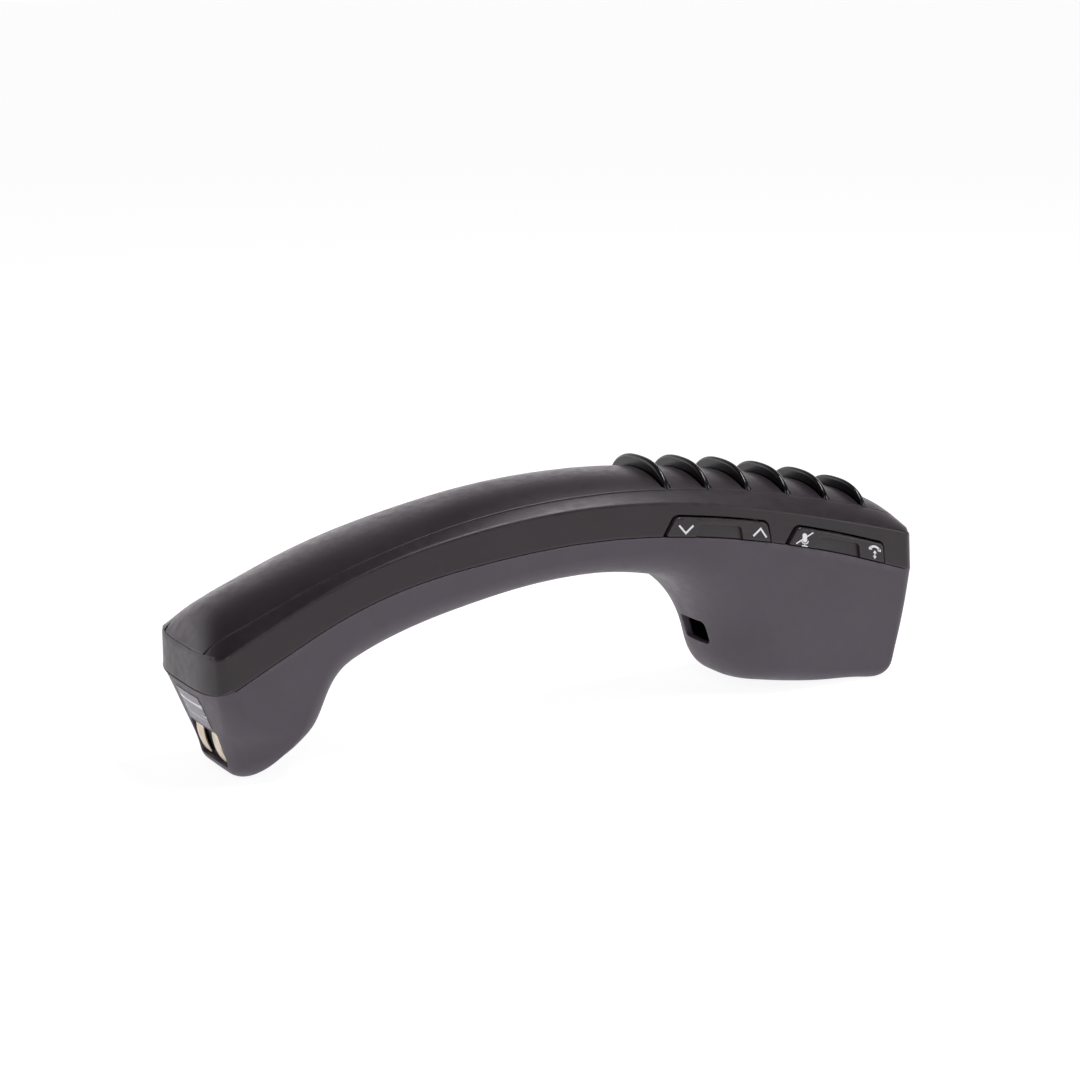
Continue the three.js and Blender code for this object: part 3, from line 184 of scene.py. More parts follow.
width = from_rows(WIDTH, sigma=5)
seam_z = from_rows(SEAM_Z, sigma=2.2)
crease_z = from_rows(CREASE_Z, sigma=2.2)
crown = from_rows(CROWN, sigma=0.8)
panel_y = from_rows(PANEL_Y, sigma=2.0)


def top_z(x, y):
    """Height of the rear face."""
    across = np.minimum(1, np.abs(y) / (width(x) / 2 - CREASE_IN))
    return crease_z(x) + crown(x) * (1 - across**CROWN_EXP)


def side_y(x, z):
    """Half width of the front housing, which draws in slightly below the seam."""
    return width(x) / 2 - 0.030 * np.maximum(0, seam_z(x) - z)


def side_points(outline, y):
    """Points (x, height above the seam) placed y inside the -Y side of the rear frame."""
    P = np.asarray(outline, float)
    x = P[..., 0]
    return np.stack([x, -width(x) / 2 + y, P[..., 1] + seam_z(x)], -1)


# ------------------------------------------------------------------ meshes
def grid_quads(n, m, off=0, flip=False, close_i=False, close_j=False):
    i = np.arange(n if close_i else n - 1)
    j = np.arange(m if close_j else m - 1)
    I, J = np.meshgrid(i, j, indexing="ij")
    I2, J2 = (I + 1) % n, (J + 1) % m
    corners = [I * m + J, I * m + J2, I2 * m + J2, I2 * m + J]
    q = np.stack(corners, -1).reshape(-1, 4) + off
    return (q[:, ::-1] if flip else q).tolist()


def grid_border(n, m):
    """Rows and columns of a grid's border points, in order round it."""
    edge = [(i, 0) for i in range(n)] + [(n - 1, j) for j in range(1, m)]
    edge += [(i, m - 1) for i in range(n - 2, -1, -1)] + [(0, j) for j in range(m - 2, 0, -1)]
    return np.array(edge).T


def band(low, high):
    """Quads between two closed runs of vertex numbers."""
    rows = zip(low, low[1:] + low[:1], high[1:] + high[:1], high)
    return [list(quad) for quad in rows]


def make(name, verts, faces, merge=2e-6):
    """An object in the scene from drawing points; merge is in metres."""
    mesh = bpy.data.meshes.new(name)
    v = np.asarray(verts, float).reshape(-1, 3) + [X_SHIFT, 0, 0]
    mesh.from_pydata((v * 0.001).tolist(), [], faces)
    bm = bmesh.new()
    bm.from_mesh(mesh)
    if merge:
        bmesh.ops.remove_doubles(bm, verts=bm.verts, dist=merge)
    bmesh.ops.dissolve_degenerate(bm, edges=bm.edges, dist=1e-7)
    bmesh.ops.recalc_face_normals(bm, faces=bm.faces)
    bm.to_mesh(mesh)
    bm.free()
    o = bpy.data.objects.new(name, mesh)
    SCENE.collection.objects.link(o)
    return o


def ring_loft(rings, close=False):
    """Closed rings lofted into a solid; end rings are filled unless the loft closes."""
    R = np.asarray(rings, float)
    n, m = R.shape[:2]
    F = grid_quads(n, m, close_i=close, close_j=True)
    if not close:
        F += [list(range(m))[::-1], [(n - 1) * m + k for k in range(m)]]
    return R.reshape(-1, 3), F


def shell(top, bottom):
    """Closed solid between two grids of the same size."""
    n, m = top.shape[:2]
    i, j = grid_border(n, m)
    ids = i * m + j
    F = grid_quads(n, m) + grid_quads(n, m, off=n * m, flip=True)
    F += band(ids.tolist(), (ids + n * m).tolist())
    return np.concatenate([top.reshape(-1, 3), bottom.reshape(-1, 3)]), F


def bake(o):
    """Applies the object's modifiers to its mesh."""
    deps = bpy.context.evaluated_depsgraph_get()
    mesh = bpy.data.meshes.new_from_object(o.evaluated_get(deps))
    old = o.data
    o.modifiers.clear()
    o.data = mesh
    bpy.data.meshes.remove(old)


def boolean(o, tools, operation="DIFFERENCE"):
    """Applies each tool; EXACT is tried where MANIFOLD fails or leaves the mesh as it was."""
    for tool in tools:
        before = len(o.data.polygons)
        backup = o.data.copy()
        for solver in ("MANIFOLD", "EXACT"):
            m = o.modifiers.new("cut", "BOOLEAN")
            m.operation, m.solver, m.object = operation, solver, tool
            bpy.context.view_layer.update()
            bake(o)
            count = len(o.data.polygons)
            if count > 12 and count != before:
                break
            o.data = backup.copy()
        bpy.data.meshes.remove(backup)
        bpy.data.objects.remove(tool)


def tidy(o):
    """Cleans up the slivers that booleans leave."""
    bm = bmesh.new()
    bm.from_mesh(o.data)
    bmesh.ops.remove_doubles(bm, verts=bm.verts, dist=4e-6)
    bmesh.ops.dissolve_degenerate(bm, edges=bm.edges, dist=1e-6)
    bm.to_mesh(o.data)
    bm.free()


def smooth(o, angle):
    o.data.shade_smooth()
    o.data.set_sharp_from_angle(angle=math.radians(angle))


# ------------------------------------------------------------------ plane outlines
def round_poly(points, radii, steps=8):
    """Polygon with rounded corners, going the same way round; one radius or one each."""
    P = np.asarray(points, float)
    radii = np.broadcast_to(radii, len(P))
    out = []
    for i, p in enumerate(P):
        a, b, r = P[i - 1] - p, P[(i + 1) % len(P)] - p, radii[i]
        la, lb = np.linalg.norm(a), np.linalg.norm(b)
        a, b = a / la, b / lb
        ang = math.acos(np.clip(a @ b, -1, 1))
        t = min(r / math.tan(ang / 2), la * 0.48, lb * 0.48)
        r = t * math.tan(ang / 2)
        c = p + (a + b) / np.linalg.norm(a + b) * r / math.sin(ang / 2)
        s, e = p + a * t - c, p + b * t - c
        turn = math.acos(np.clip(s @ e / (r * r), -1, 1)) if r > 1e-9 else 0
        for k in range(steps + 1):
            w = k / steps
            q = s
            if turn >= 1e-6:
                q = (math.sin((1 - w) * turn) * s + math.sin(w * turn) * e) / math.sin(turn)
            out.append(c + q)
    return np.array(out)


def round_box(x0, x1, y0, y1, radius, steps=8):
    return round_poly([(x0, y0), (x1, y0), (x1, y1), (x0, y1)], radius, steps)


def refine(P, step):
    out = []
    for a, b in zip(P, np.roll(P, -1, axis=0)):
        k = max(1, int(math.ceil(np.linalg.norm(b - a) / step)))
        out += [a + (b - a) * j / k for j in range(k)]
    return np.array(out)


def key_outline(corners, steps=10):
    c = np.array(corners)
    return refine(round_poly(c[:, :2], c[:, 2], steps), 0.5)


def offset(P, d):
    """Polygon moved outward by d (a number or one per point)."""
    x, y = P.T
    area = float((x * np.roll(y, -1) - np.roll(x, -1) * y).sum() / 2)
    e = np.roll(P, -1, axis=0) - np.roll(P, 1, axis=0)
    e /= np.linalg.norm(e, axis=1)[:, None] + 1e-12
    normal = np.stack([e[:, 1], -e[:, 0]], 1) * (1 if area > 0 else -1)
    return P + normal * np.reshape(d, (-1, 1))


def arc_points(c, r, a0, a1, n):
    t = np.radians(np.linspace(a0, a1, n))
    return np.stack([c[0] + r * np.cos(t), c[1] + r * np.sin(t)], 1)


def circle(x, y, r, n=24):
    t = np.linspace(0, 2 * math.pi, n + 1)[:-1]
    return np.stack([x + r * np.cos(t), y + r * np.sin(t)], 1)


def strip(points, w):
    """Outline of a line of width w through points, with square ends and mitred corners."""
    P = np.asarray(points, float)
    left, right = [], []
    for i, p in enumerate(P):
        a = P[i] - P[i - 1] if i else P[1] - P[0]
        b = P[i + 1] - P[i] if i < len(P) - 1 else P[-1] - P[-2]
        a, b = a / np.linalg.norm(a), b / np.linalg.norm(b)
        na, nb = np.array([-a[1], a[0]]), np.array([-b[1], b[0]])
        mitre = (na + nb) / (1 + na @ nb)
        left.append(p + mitre * w / 2)
        right.append(p - mitre * w / 2)
    return np.array(left + right[::-1])


def edge_drop(distance, r):
    """Drop of a surface at a distance inside an edge rounded with radius r."""
    k = np.clip(distance, 0, r)
    return r - np.sqrt(np.maximum(r * r - (r - k) ** 2, 0))


def mouth_cutter(name, outline, place, inward, depth_at, radius, depth, outside=2.0, steps=5):
    """A prism along inward whose mouth flares by radius where it meets the skin.

    outline has points (a, b); place(a, b) is the start point of each, and depth_at(a, b) the
    distance from there to the skin, nan where there is none."""
    inward = np.asarray(inward, float)
    levels = [(-outside, radius * 1.4), (-0.02, radius)]
    for t in np.linspace(0.18, math.pi / 2, steps):
        levels.append((radius * (1 - math.cos(t)), radius * (1 - math.sin(t))))
    levels.append((depth, 0.0))
    start = np.array([depth_at(a, b) for a, b in outline], float)
    hit = ~np.isnan(start)
    if not hit.all():  # rays that miss take the depth of their neighbours
        i = np.arange(len(start))
        start = np.interp(i, i[hit], start[hit]) if hit.any() else np.zeros(len(start))
    rings = [
        [place(a, b) + inward * (s + level) for (a, b), s in zip(offset(outline, flare), start)]
        for level, flare in levels
    ]
    return make(name, *ring_loft(rings), merge=0)


# ------------------------------------------------------------------ materials
MATERIALS = {}


class Nodes:
    """A cleared node tree and short ways to add to it."""

    def __init__(self, owner):
        owner.use_nodes = True
        self.tree = owner.node_tree
        self.tree.nodes.clear()

    def set(self, node, inputs):
        """Each input takes a plain value or the output socket that feeds it."""
        for key, value in inputs.items():
            if isinstance(value, bpy.types.NodeSocket):
                self.tree.links.new(value, node.inputs[key])
            else:
                node.inputs[key].default_value = value

    def add(self, kind, inputs={}, **settings):
        node = self.tree.nodes.new("ShaderNode" + kind)
        for key, value in settings.items():
            setattr(node, key, value)
        self.set(node, inputs)
        return node

    def ramp(self, value, span, to):
        """Maps the span of value linearly to the range to."""
        return self.add("MapRange", {"From Min": span[0], "From Max": span[1],
                                     "To Min": to[0], "To Max": to[1],
                                     "Value": value}).outputs[0]

    def math(self, operation, a, b):
        return self.add("Math", {0: a, 1: b}, operation=operation).outputs[0]

    def mix(self, factor, a, b):
        a, b = [(*c, 1) if isinstance(c, tuple) else c for c in (a, b)]
        return self.add("Mix", {0: factor, 6: a, 7: b}, data_type="RGBA").outputs[2]


class Finish(Nodes):
    """A new material: one Principled shader, textured in object coordinates."""

    def __init__(self, name):
        MATERIALS[name] = bpy.data.materials.new(name)
        super().__init__(MATERIALS[name])
        out = self.add("OutputMaterial")
        self.shader = self.add("BsdfPrincipled")
        self.set(out, {0: self.shader.outputs[0]})
        self.place = self.add("TexCoord").outputs["Object"]

    def look(self, inputs):
        self.set(self.shader, inputs)

    def texture(self, kind, inputs, **settings):
        return self.add("Tex" + kind, {"Vector": self.place, **inputs}, **settings).outputs

    def noise(self, scale, detail=3.0, stretch=None):
        inputs = {"Scale": scale, "Detail": detail, "Roughness": 0.55}
        if stretch:
            inputs["Vector"] = self.add(
                "Mapping", {"Scale": stretch, "Vector": self.place}).outputs[0]
        return self.texture("Noise", inputs)["Fac"]

    def bump(self, height, strength, distance):
        inputs = {"Strength": strength, "Distance": distance, "Height": height}
        self.look({"Normal": self.add("Bump", inputs).outputs[0]})


def plastic(name, color, rough, grain, seed, spec=0.5, specks=0.0, edge=0.25, vary=0.12,
            spread=0.06, coat=0.0):
    """Moulded plastic: fine grain, faint blotches, rubbed edges and a few specks of dust.

    grain: bump strength; seed shifts the blotches' scale; specks: share of cells with a speck;
    edge: strength of wear; vary, spread: variation of colour and of roughness."""
    f = Finish(name)
    blotch = f.noise(scale=34.0 + seed)
    fine = f.noise(scale=1000.0 / 0.28, detail=2)
    mid = f.noise(scale=420.0, detail=4)
    light = tuple(min(1, c * (1 + vary)) for c in color)
    dark = tuple(c * (1 - vary) for c in color)
    tint = f.mix(f.ramp(blotch, span=(0.3, 0.7), to=(0, 1)), dark, light)
    if edge:
        curvature = f.add("Attribute", attribute_name="edge_wear").outputs["Fac"]
        worn = f.ramp(curvature, span=(0.15, 0.9), to=(0, 1))
        patch = f.ramp(mid, span=(0.35, 0.65), to=(0.2, 1))
        worn = f.math("MULTIPLY", f.math("MULTIPLY", worn, patch), edge)
        tint = f.mix(worn, tint, tuple(min(1, c * 2.2 + 0.02) for c in color))
    gloss = f.math("ADD",
                   f.ramp(mid, span=(0.3, 0.7), to=(rough - spread, rough + spread)),
                   f.ramp(blotch, span=(0.3, 0.7), to=(-spread * 0.6, spread * 0.6)))
    if specks:
        cells = f.texture("Voronoi", {"Scale": 1000.0 / 4.2})
        size = f.ramp(cells["Color"], span=(0.0, 1.0), to=(0.014, 0.042))
        near = f.math("LESS_THAN", cells["Distance"], size)
        draw = f.add("SeparateColor", {0: cells["Color"]}).outputs[1]
        dust = f.math("MULTIPLY", near, f.math("GREATER_THAN", draw, 1 - specks))
        tint = f.mix(f.math("MULTIPLY", dust, 0.8), tint, (0.42, 0.40, 0.42))
        gloss = f.math("ADD", gloss, f.math("MULTIPLY", dust, 0.3))
    f.look({"Base Color": tint, "Roughness": gloss, "Specular IOR Level": spec,
            "Coat Weight": coat, "Coat Roughness": 0.2})
    height = f.math("ADD", fine, f.math("MULTIPLY", mid, 0.5))
    f.bump(height, strength=grain, distance=0.00006)


def metal(name, color, rough, brush, tarnish=None, strength=0.15):
    """Brushed metal with darker blotches; brush stretches the brush lines' noise."""
    f = Finish(name)
    line = f.noise(scale=900.0, stretch=brush)
    blotch = f.noise(scale=160.0, detail=4)
    dark = tarnish or tuple(c * 0.72 for c in color)
    gloss = f.math("ADD",
                   f.ramp(line, span=(0.3, 0.7), to=(rough - 0.06, rough + 0.08)),
                   f.ramp(blotch, span=(0.4, 0.8), to=(-0.02, 0.08)))
    f.look({"Base Color": f.mix(f.ramp(blotch, span=(0.42, 0.75), to=(0, 1)), color, dark),
            "Metallic": 1.0, "Roughness": gloss})
    f.bump(line, strength=strength, distance=0.00003)


def cloth(name, color):
    """Plain weave of two crossed waves."""
    f = Finish(name)
    wave = {"Scale": 700.0, "Distortion": 0.6}
    warp, weft = [f.texture("Wave", wave, bands_direction=d)["Fac"] for d in "XY"]
    height = f.math("MULTIPLY", warp, weft)
    dark, light = tuple(c * 0.5 for c in color), tuple(min(1, c * 1.8) for c in color)
    f.look({"Base Color": f.mix(height, dark, light), "Roughness": 0.95, "Sheen Weight": 0.3})
    f.bump(height, strength=0.5, distance=0.0001)


def circuit_board(name):
    """Green board with a brick pattern of lines and scattered metal pads."""
    f = Finish(name)
    lines = f.texture("Brick", {
        "Scale": 260.0, "Mortar Size": 0.012, "Color1": (0.012, 0.085, 0.032, 1),
        "Color2": (0.010, 0.070, 0.028, 1), "Mortar": (0.03, 0.16, 0.06, 1)})
    cells = f.texture("Voronoi", {"Scale": 420.0})
    pad = f.math("LESS_THAN", cells["Distance"], 0.16)
    tint = f.mix(f.math("MULTIPLY", pad, 0.8), lines["Color"], (0.55, 0.50, 0.40))
    f.look({"Base Color": tint, "Metallic": f.math("MULTIPLY", pad, 0.8), "Roughness": 0.38})
    f.bump(lines["Fac"], strength=0.2, distance=0.00005)


def printed_label(name):
    """Grey film with rows of plain printed bars, no lettering."""
    f = Finish(name)
    turned = f.add("Mapping", {"Rotation": (math.radians(90), 0, math.radians(90)),
                               "Vector": f.place}).outputs[0]
    bars = f.texture("Brick", {
        "Vector": turned, "Scale": 1.0, "Brick Width": 0.0030, "Row Height": 0.0013,
        "Mortar Size": 0.00042, "Color1": (0.80, 0.79, 0.82, 1),
        "Color2": (0.20, 0.19, 0.22, 1), "Mortar": (0.16, 0.15, 0.18, 1),
    }, offset=0.37, squash=0.6)["Color"]
    rub = f.noise(scale=500)
    f.look({"Base Color": f.mix(f.ramp(rub, span=(0.35, 0.65), to=(0, 0.25)),
                                bars, (0.3, 0.29, 0.32)),
            "Roughness": f.ramp(rub, span=(0.3, 0.7), to=(0.3, 0.45))})


def make_materials():
    plastic("back_plastic", color=(0.024, 0.0185, 0.022), rough=0.38, grain=0.20, specks=0.03,
            spec=0.42, seed=1.0)
    plastic("front_plastic", color=(0.074, 0.062, 0.078), rough=0.50, grain=0.26, specks=0.05,
            spec=0.38, vary=0.08, seed=2.0)
    plastic("rib_plastic", color=(0.003, 0.003, 0.003), rough=0.22, grain=0.05, edge=0.1,
            spread=0.05, specks=0.02, seed=3.0)
    plastic("key_plastic", color=(0.022, 0.0175, 0.020), rough=0.34, grain=0.16, specks=0.02,
            edge=0.4, spec=0.42, seed=4.0)
    plastic("inner_plastic", color=(0.022, 0.022, 0.025), rough=0.6, grain=0.25, edge=0.1,
            seed=5.0)
    plastic("pale_plastic", color=(0.62, 0.60, 0.54), rough=0.5, grain=0.1, edge=0, seed=6.0)
    plastic("ceramic", color=(0.70, 0.70, 0.66), rough=0.45, grain=0.1, edge=0, seed=7.0)
    plastic("rubber", color=(0.012, 0.012, 0.013), rough=0.78, grain=0.3, edge=0, seed=8.0)
    plastic("wire", color=(0.30, 0.02, 0.02), rough=0.5, grain=0.05, edge=0, seed=9.0)
    plastic("cell", color=(0.06, 0.13, 0.30), rough=0.32, grain=0.08, edge=0.2, coat=0.4,
            seed=10.0)
    circuit_board("board")
    metal("steel", color=(0.52, 0.53, 0.55), rough=0.30, brush=(1, 1, 30))
    metal("driver_metal", color=(0.42, 0.43, 0.45), rough=0.38, brush=(30, 1, 1))
    metal("contact_metal", color=(0.72, 0.62, 0.50), rough=0.36, brush=(30, 1, 1),
          strength=0.08, tarnish=(0.50, 0.40, 0.32))
    cloth("cloth", color=(0.014, 0.014, 0.016))
    printed_label("label")
    plastic("icon_white", color=(0.80, 0.79, 0.80), rough=0.5, grain=0.12, edge=0, vary=0.05,
            seed=11.0)


def store_wear(o):
    """Stores convex curvature at each vertex, per mm, as the attribute edge_wear."""
    least, full = 0.05, 1.6  # shortest edge to trust; curvature stored as 1
    mesh = o.data
    n = len(mesh.vertices)
    co = np.empty(n * 3)
    mesh.vertices.foreach_get("co", co)
    co = co.reshape(-1, 3) * 1000.0
    edges = np.empty(len(mesh.edges) * 2, np.int64)
    mesh.edges.foreach_get("vertices", edges)
    edges = edges.reshape(-1, 2)
    # area-weighted vertex normals, apart from the stored split ones
    mesh.calc_loop_triangles()
    tri = np.empty(len(mesh.loop_triangles) * 3, np.int64)
    mesh.loop_triangles.foreach_get("vertices", tri)
    tri = tri.reshape(-1, 3)
    face_normal = np.cross(co[tri[:, 1]] - co[tri[:, 0]], co[tri[:, 2]] - co[tri[:, 0]])
    N = np.zeros((n, 3))
    for k in range(3):
        np.add.at(N, tri[:, k], face_normal)
    N /= np.linalg.norm(N, axis=1)[:, None] + 1e-12
    d = co[edges[:, 1]] - co[edges[:, 0]]
    length2 = (d * d).sum(1)
    bend = ((N[edges[:, 1]] - N[edges[:, 0]]) * d).sum(1) / np.maximum(length2, 1e-9)
    bend[length2 < least**2] = 0
    wear = np.zeros(n)
    for j in range(2):
        np.maximum.at(wear, edges[:, j], bend)
    wear = np.clip(wear / full, 0, 1)
    attribute = mesh.attributes.new("edge_wear", "FLOAT", "POINT")
    attribute.data.foreach_set("value", wear.astype(np.float32))


def dress(o, body, slot, *nodes, material=None):
    """Gives the object the material of its slot, puts it under its body and hides the nodes it
    stands in for.
    """
    store_wear(o)
    o.data.materials.clear()
    o.data.materials.append(MATERIALS[material or slot])
    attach(o, body)
    if nodes:
        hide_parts(*nodes)


def finish_cut(o, body, slot, *nodes, angle=38):
    """Cleans, smooths and dresses a piece made with booleans."""
    tidy(o)
    smooth(o, angle)
    m = o.modifiers.new("normals", "WEIGHTED_NORMAL")
    m.keep_sharp = True
    m.weight = 60
    dress(o, body, slot, *nodes)


# ------------------------------------------------------------------ front housing surface
OUT_D = np.append(0, np.cumsum(np.hypot(np.diff(OUTLINE[:, 0]), np.diff(OUTLINE[:, 1]))))
OUT_L = float(OUT_D[-1])  # u runs along the middle line from 0 at the mouth end to OUT_L
OUT_CURVES = [natural(OUT_D, OUTLINE[:, 0]), natural(OUT_D, OUTLINE[:, 1])]
OUT_CURVES += [smoothed(pchip(OUT_D, OUTLINE[:, k]), 0, OUT_L, 1.6) for k in range(2, 6)]


def outline_at(u):
    """Middle x, z; reach of the rounding; its width; bow; direction x, z; wall x, z."""
    x, z, wall_x, wall_z, round_y, bow = [curve(u) for curve in OUT_CURVES]
    length = np.hypot(wall_x - x, wall_z - z)
    dx, dz = (wall_x - x) / length, (wall_z - z) / length
    return x, z, length - bow, round_y, bow, dx, dz, wall_x, wall_z


def u_at(test, u=0.0):
    """First place along the outline, from u on, where test(x, z) holds."""
    while not test(*[float(curve(u)) for curve in OUT_CURVES[:2]]):
        u += 0.05
    return u


def near_end(u):
    return np.clip(1 - u / 8, 0, 1) ** 2


def front_point(u, y, out=0.0):
    """Point on the front housing's skin, moved out from it."""
    x, z, reach, round_y, bow, dx, dz, wall_x, wall_z = outline_at(u)
    half = side_y(wall_x, wall_z)
    t = np.clip((np.abs(y) - (half - round_y)) / round_y, 0, 1)
    curl = reach * (1 - np.sqrt(1 - t * t))
    h = bow * (np.abs(y) / half) ** (2.5 + 1.5 * near_end(u)) + curl - out
    return np.stack(np.broadcast_arrays(x + dx * h, y, z + dz * h), -1)


def seam_points(us, n=50):
    """Matching x on the seam for each place along the outline, made to run forward."""
    stations = np.linspace(0, OUT_L, n)
    wall_x = OUT_CURVES[2](stations)
    highest = np.maximum.accumulate(wall_x)
    lowest = np.minimum.accumulate(wall_x[::-1])[::-1]
    x = (highest + lowest) / 2
    for _ in range(6):
        x[1:-1] = (x[:-2] + 2 * x[1:-1] + x[2:]) / 4
    x[0], x[-1] = wall_x[0], wall_x[-1]
    for i in range(1, n):
        x[i] = min(max(x[i], x[i - 1] + 0.02), wall_x[-1] - 0.02 * (n - 1 - i))
    return pchip(stations, x)(us)


def outer_grid(us, flat, arc, wall):
    """Skin grid; flat, arc and wall are the column fractions on each part of a half."""
    x0, z0, reach, round_y, bow, dx, dz, wall_x, wall_z = outline_at(us)
    half_w = side_y(wall_x, wall_z)
    mouth, ear = near_end(us), near_end(OUT_L - us)
    half = []

    def add(y, curl):
        h = bow * (y / half_w) ** (2.5 + 1.5 * mouth) + curl
        x = x0 + dx * h
        z = z0 + dz * h + mouth * (seam_z(x) - OUTLINE[0, 1])
        half.append(np.stack([x, -y, z + ear * (seam_z(x) - OUTLINE[-1, 1])], 1))

    for t in flat:
        add((half_w - round_y) * t, 0)
    for t in arc:
        a = t * math.pi / 2
        add(half_w - round_y + round_y * math.sin(a), reach * (1 - math.cos(a)))
    end = half[-1]
    seam_x = seam_points(us)
    for t in wall:
        x = end[:, 0] * (1 - t) + seam_x * t
        z = end[:, 2] * (1 - t) + seam_z(seam_x) * t
        half.append(np.stack([x, -side_y(x, z), z], 1))
    half = np.stack(half, 1)
    return np.concatenate([half[:, 1:][:, ::-1] * [1, -1, 1], half], 1)


def grid_normals(G):
    a, b, c, d = G[:-1, :-1], G[:-1, 1:], G[1:, 1:], G[1:, :-1]
    cell = np.cross(c - a, d - b)
    N = np.zeros_like(G)
    for rows in (slice(None, -1), slice(1, None)):
        for cols in (slice(None, -1), slice(1, None)):
            N[rows, cols] += cell
    return N / (np.linalg.norm(N, axis=-1, keepdims=True) + 1e-12)


def inner_grid():
    """Coarse inner skin, WALL inside the outer one."""
    C = outer_grid(np.linspace(0, OUT_L, 50), [0, 0.5], [0, 0.28, 0.52, 0.76, 1], [0.45, 1])
    N = grid_normals(C)
    outward = 1 if N[41, 8, 2] < 0 else -1  # a middle point under the ear cup faces down
    inner = C - N * WALL * outward
    inner[0] = C[0] + [WALL, 0, 0]
    inner[-1] = C[-1] - [WALL, 0, 0]
    for i in (0, -1):
        limit = abs(C[i, 0, 1]) - WALL
        inner[i, :, 1] = np.clip(C[i, :, 1], -limit, limit)
        inner[i, :, 2] = seam_z(inner[i, :, 0])
    for j in (0, -1):
        x, y = np.clip(C[1:-1, j, 0], OUTLINE[0, 2] + WALL, 101.5), C[1:-1, j, 1]
        inner[1:-1, j] = np.stack([x, y - np.sign(y) * WALL, seam_z(x)], 1)
    return inner


def resample(G, rows, cols):
    """Bilinear samples of a grid at fractional rows and columns."""
    a = np.clip(rows.astype(int), 0, G.shape[0] - 2)
    t = (rows - a)[:, None, None]
    R = G[a] * (1 - t) + G[a + 1] * t
    b = np.clip(cols.astype(int), 0, G.shape[1] - 2)
    t = (cols - b)[None, :, None]
    return R[:, b] * (1 - t) + R[:, b + 1] * t


def fine_columns(flat, arc, wall):
    """Each part's knots subdivided; the arc and wall keep their last knot."""
    def divide(knots, k):
        spans = zip(knots, knots[1:])
        return np.concatenate([np.linspace(a, b, k, endpoint=False) for a, b in spans])

    return (divide(flat, 6), np.append(divide(arc, 5), arc[-1]),
            np.append(divide(wall, 7)[1:], wall[-1]))


def front_shell():
    us = np.linspace(0, OUT_L, 760)
    G = outer_grid(us, *fine_columns([0, 0.5, 1], [0, 0.28, 0.52, 0.76, 1], [0, 0.45, 1]))
    coarse = inner_grid()
    # places of the fine columns among the coarse grid's columns
    k = np.concatenate(fine_columns([0, 1, 2], [2, 3, 4, 5, 6], [6, 7, 8]))
    mid = (coarse.shape[1] - 1) / 2
    cols = np.concatenate([mid - k[1:][::-1], mid + k])
    I = resample(coarse, us / OUT_L * (coarse.shape[0] - 1), cols)
    n, m = G.shape[:2]
    rows, cols = grid_border(n, m)
    P = G[rows, cols].copy()
    inward = I[rows, cols] - P
    inward[:, 2] = 0
    inward /= np.linalg.norm(inward, axis=1)[:, None] + 1e-9
    G[rows, cols, 2] -= LIP
    V = [G.reshape(-1, 3), I.reshape(-1, 3)]
    F = grid_quads(n, m) + grid_quads(n, m, off=n * m, flip=True)
    # rounded lip at the seam
    last = (rows * m + cols).tolist()
    inner = [i + n * m for i in last]
    start = 2 * n * m
    for a in np.linspace(0, math.pi / 2, 6)[1:]:
        L = P + inward * LIP * (1 - math.cos(a))
        L[:, 2] += -LIP + LIP * math.sin(a)
        V.append(L)
        ring = list(range(start, start + len(L)))
        start += len(L)
        F += band(last, ring)
        last = ring
    return make("front_housing_shell", np.concatenate(V), F + band(last, inner))


# Charging recess, low on the mouth end: middle, direction down the face, direction inward.
_top, _bottom = u_at(lambda x, z: z <= 11.6), u_at(lambda x, z: z <= 3.0)
CHARGE_MID = front_point((_top + _bottom) / 2, 0.0)
CHARGE_DOWN = front_point(_bottom, 0.0) - front_point(_top, 0.0)
CHARGE_DOWN /= np.linalg.norm(CHARGE_DOWN)
CHARGE_IN = np.array([-CHARGE_DOWN[2], 0, CHARGE_DOWN[0]])

# Middle line of the underside, around the battery door.
_start = u_at(lambda x, z: x >= -60, 45.0)
UNDER_X, UNDER_Z = [curve(np.linspace(_start, _start + 120, 600)) for curve in OUT_CURVES[:2]]


def under_z(x):
    return np.interp(x, UNDER_X, UNDER_Z)


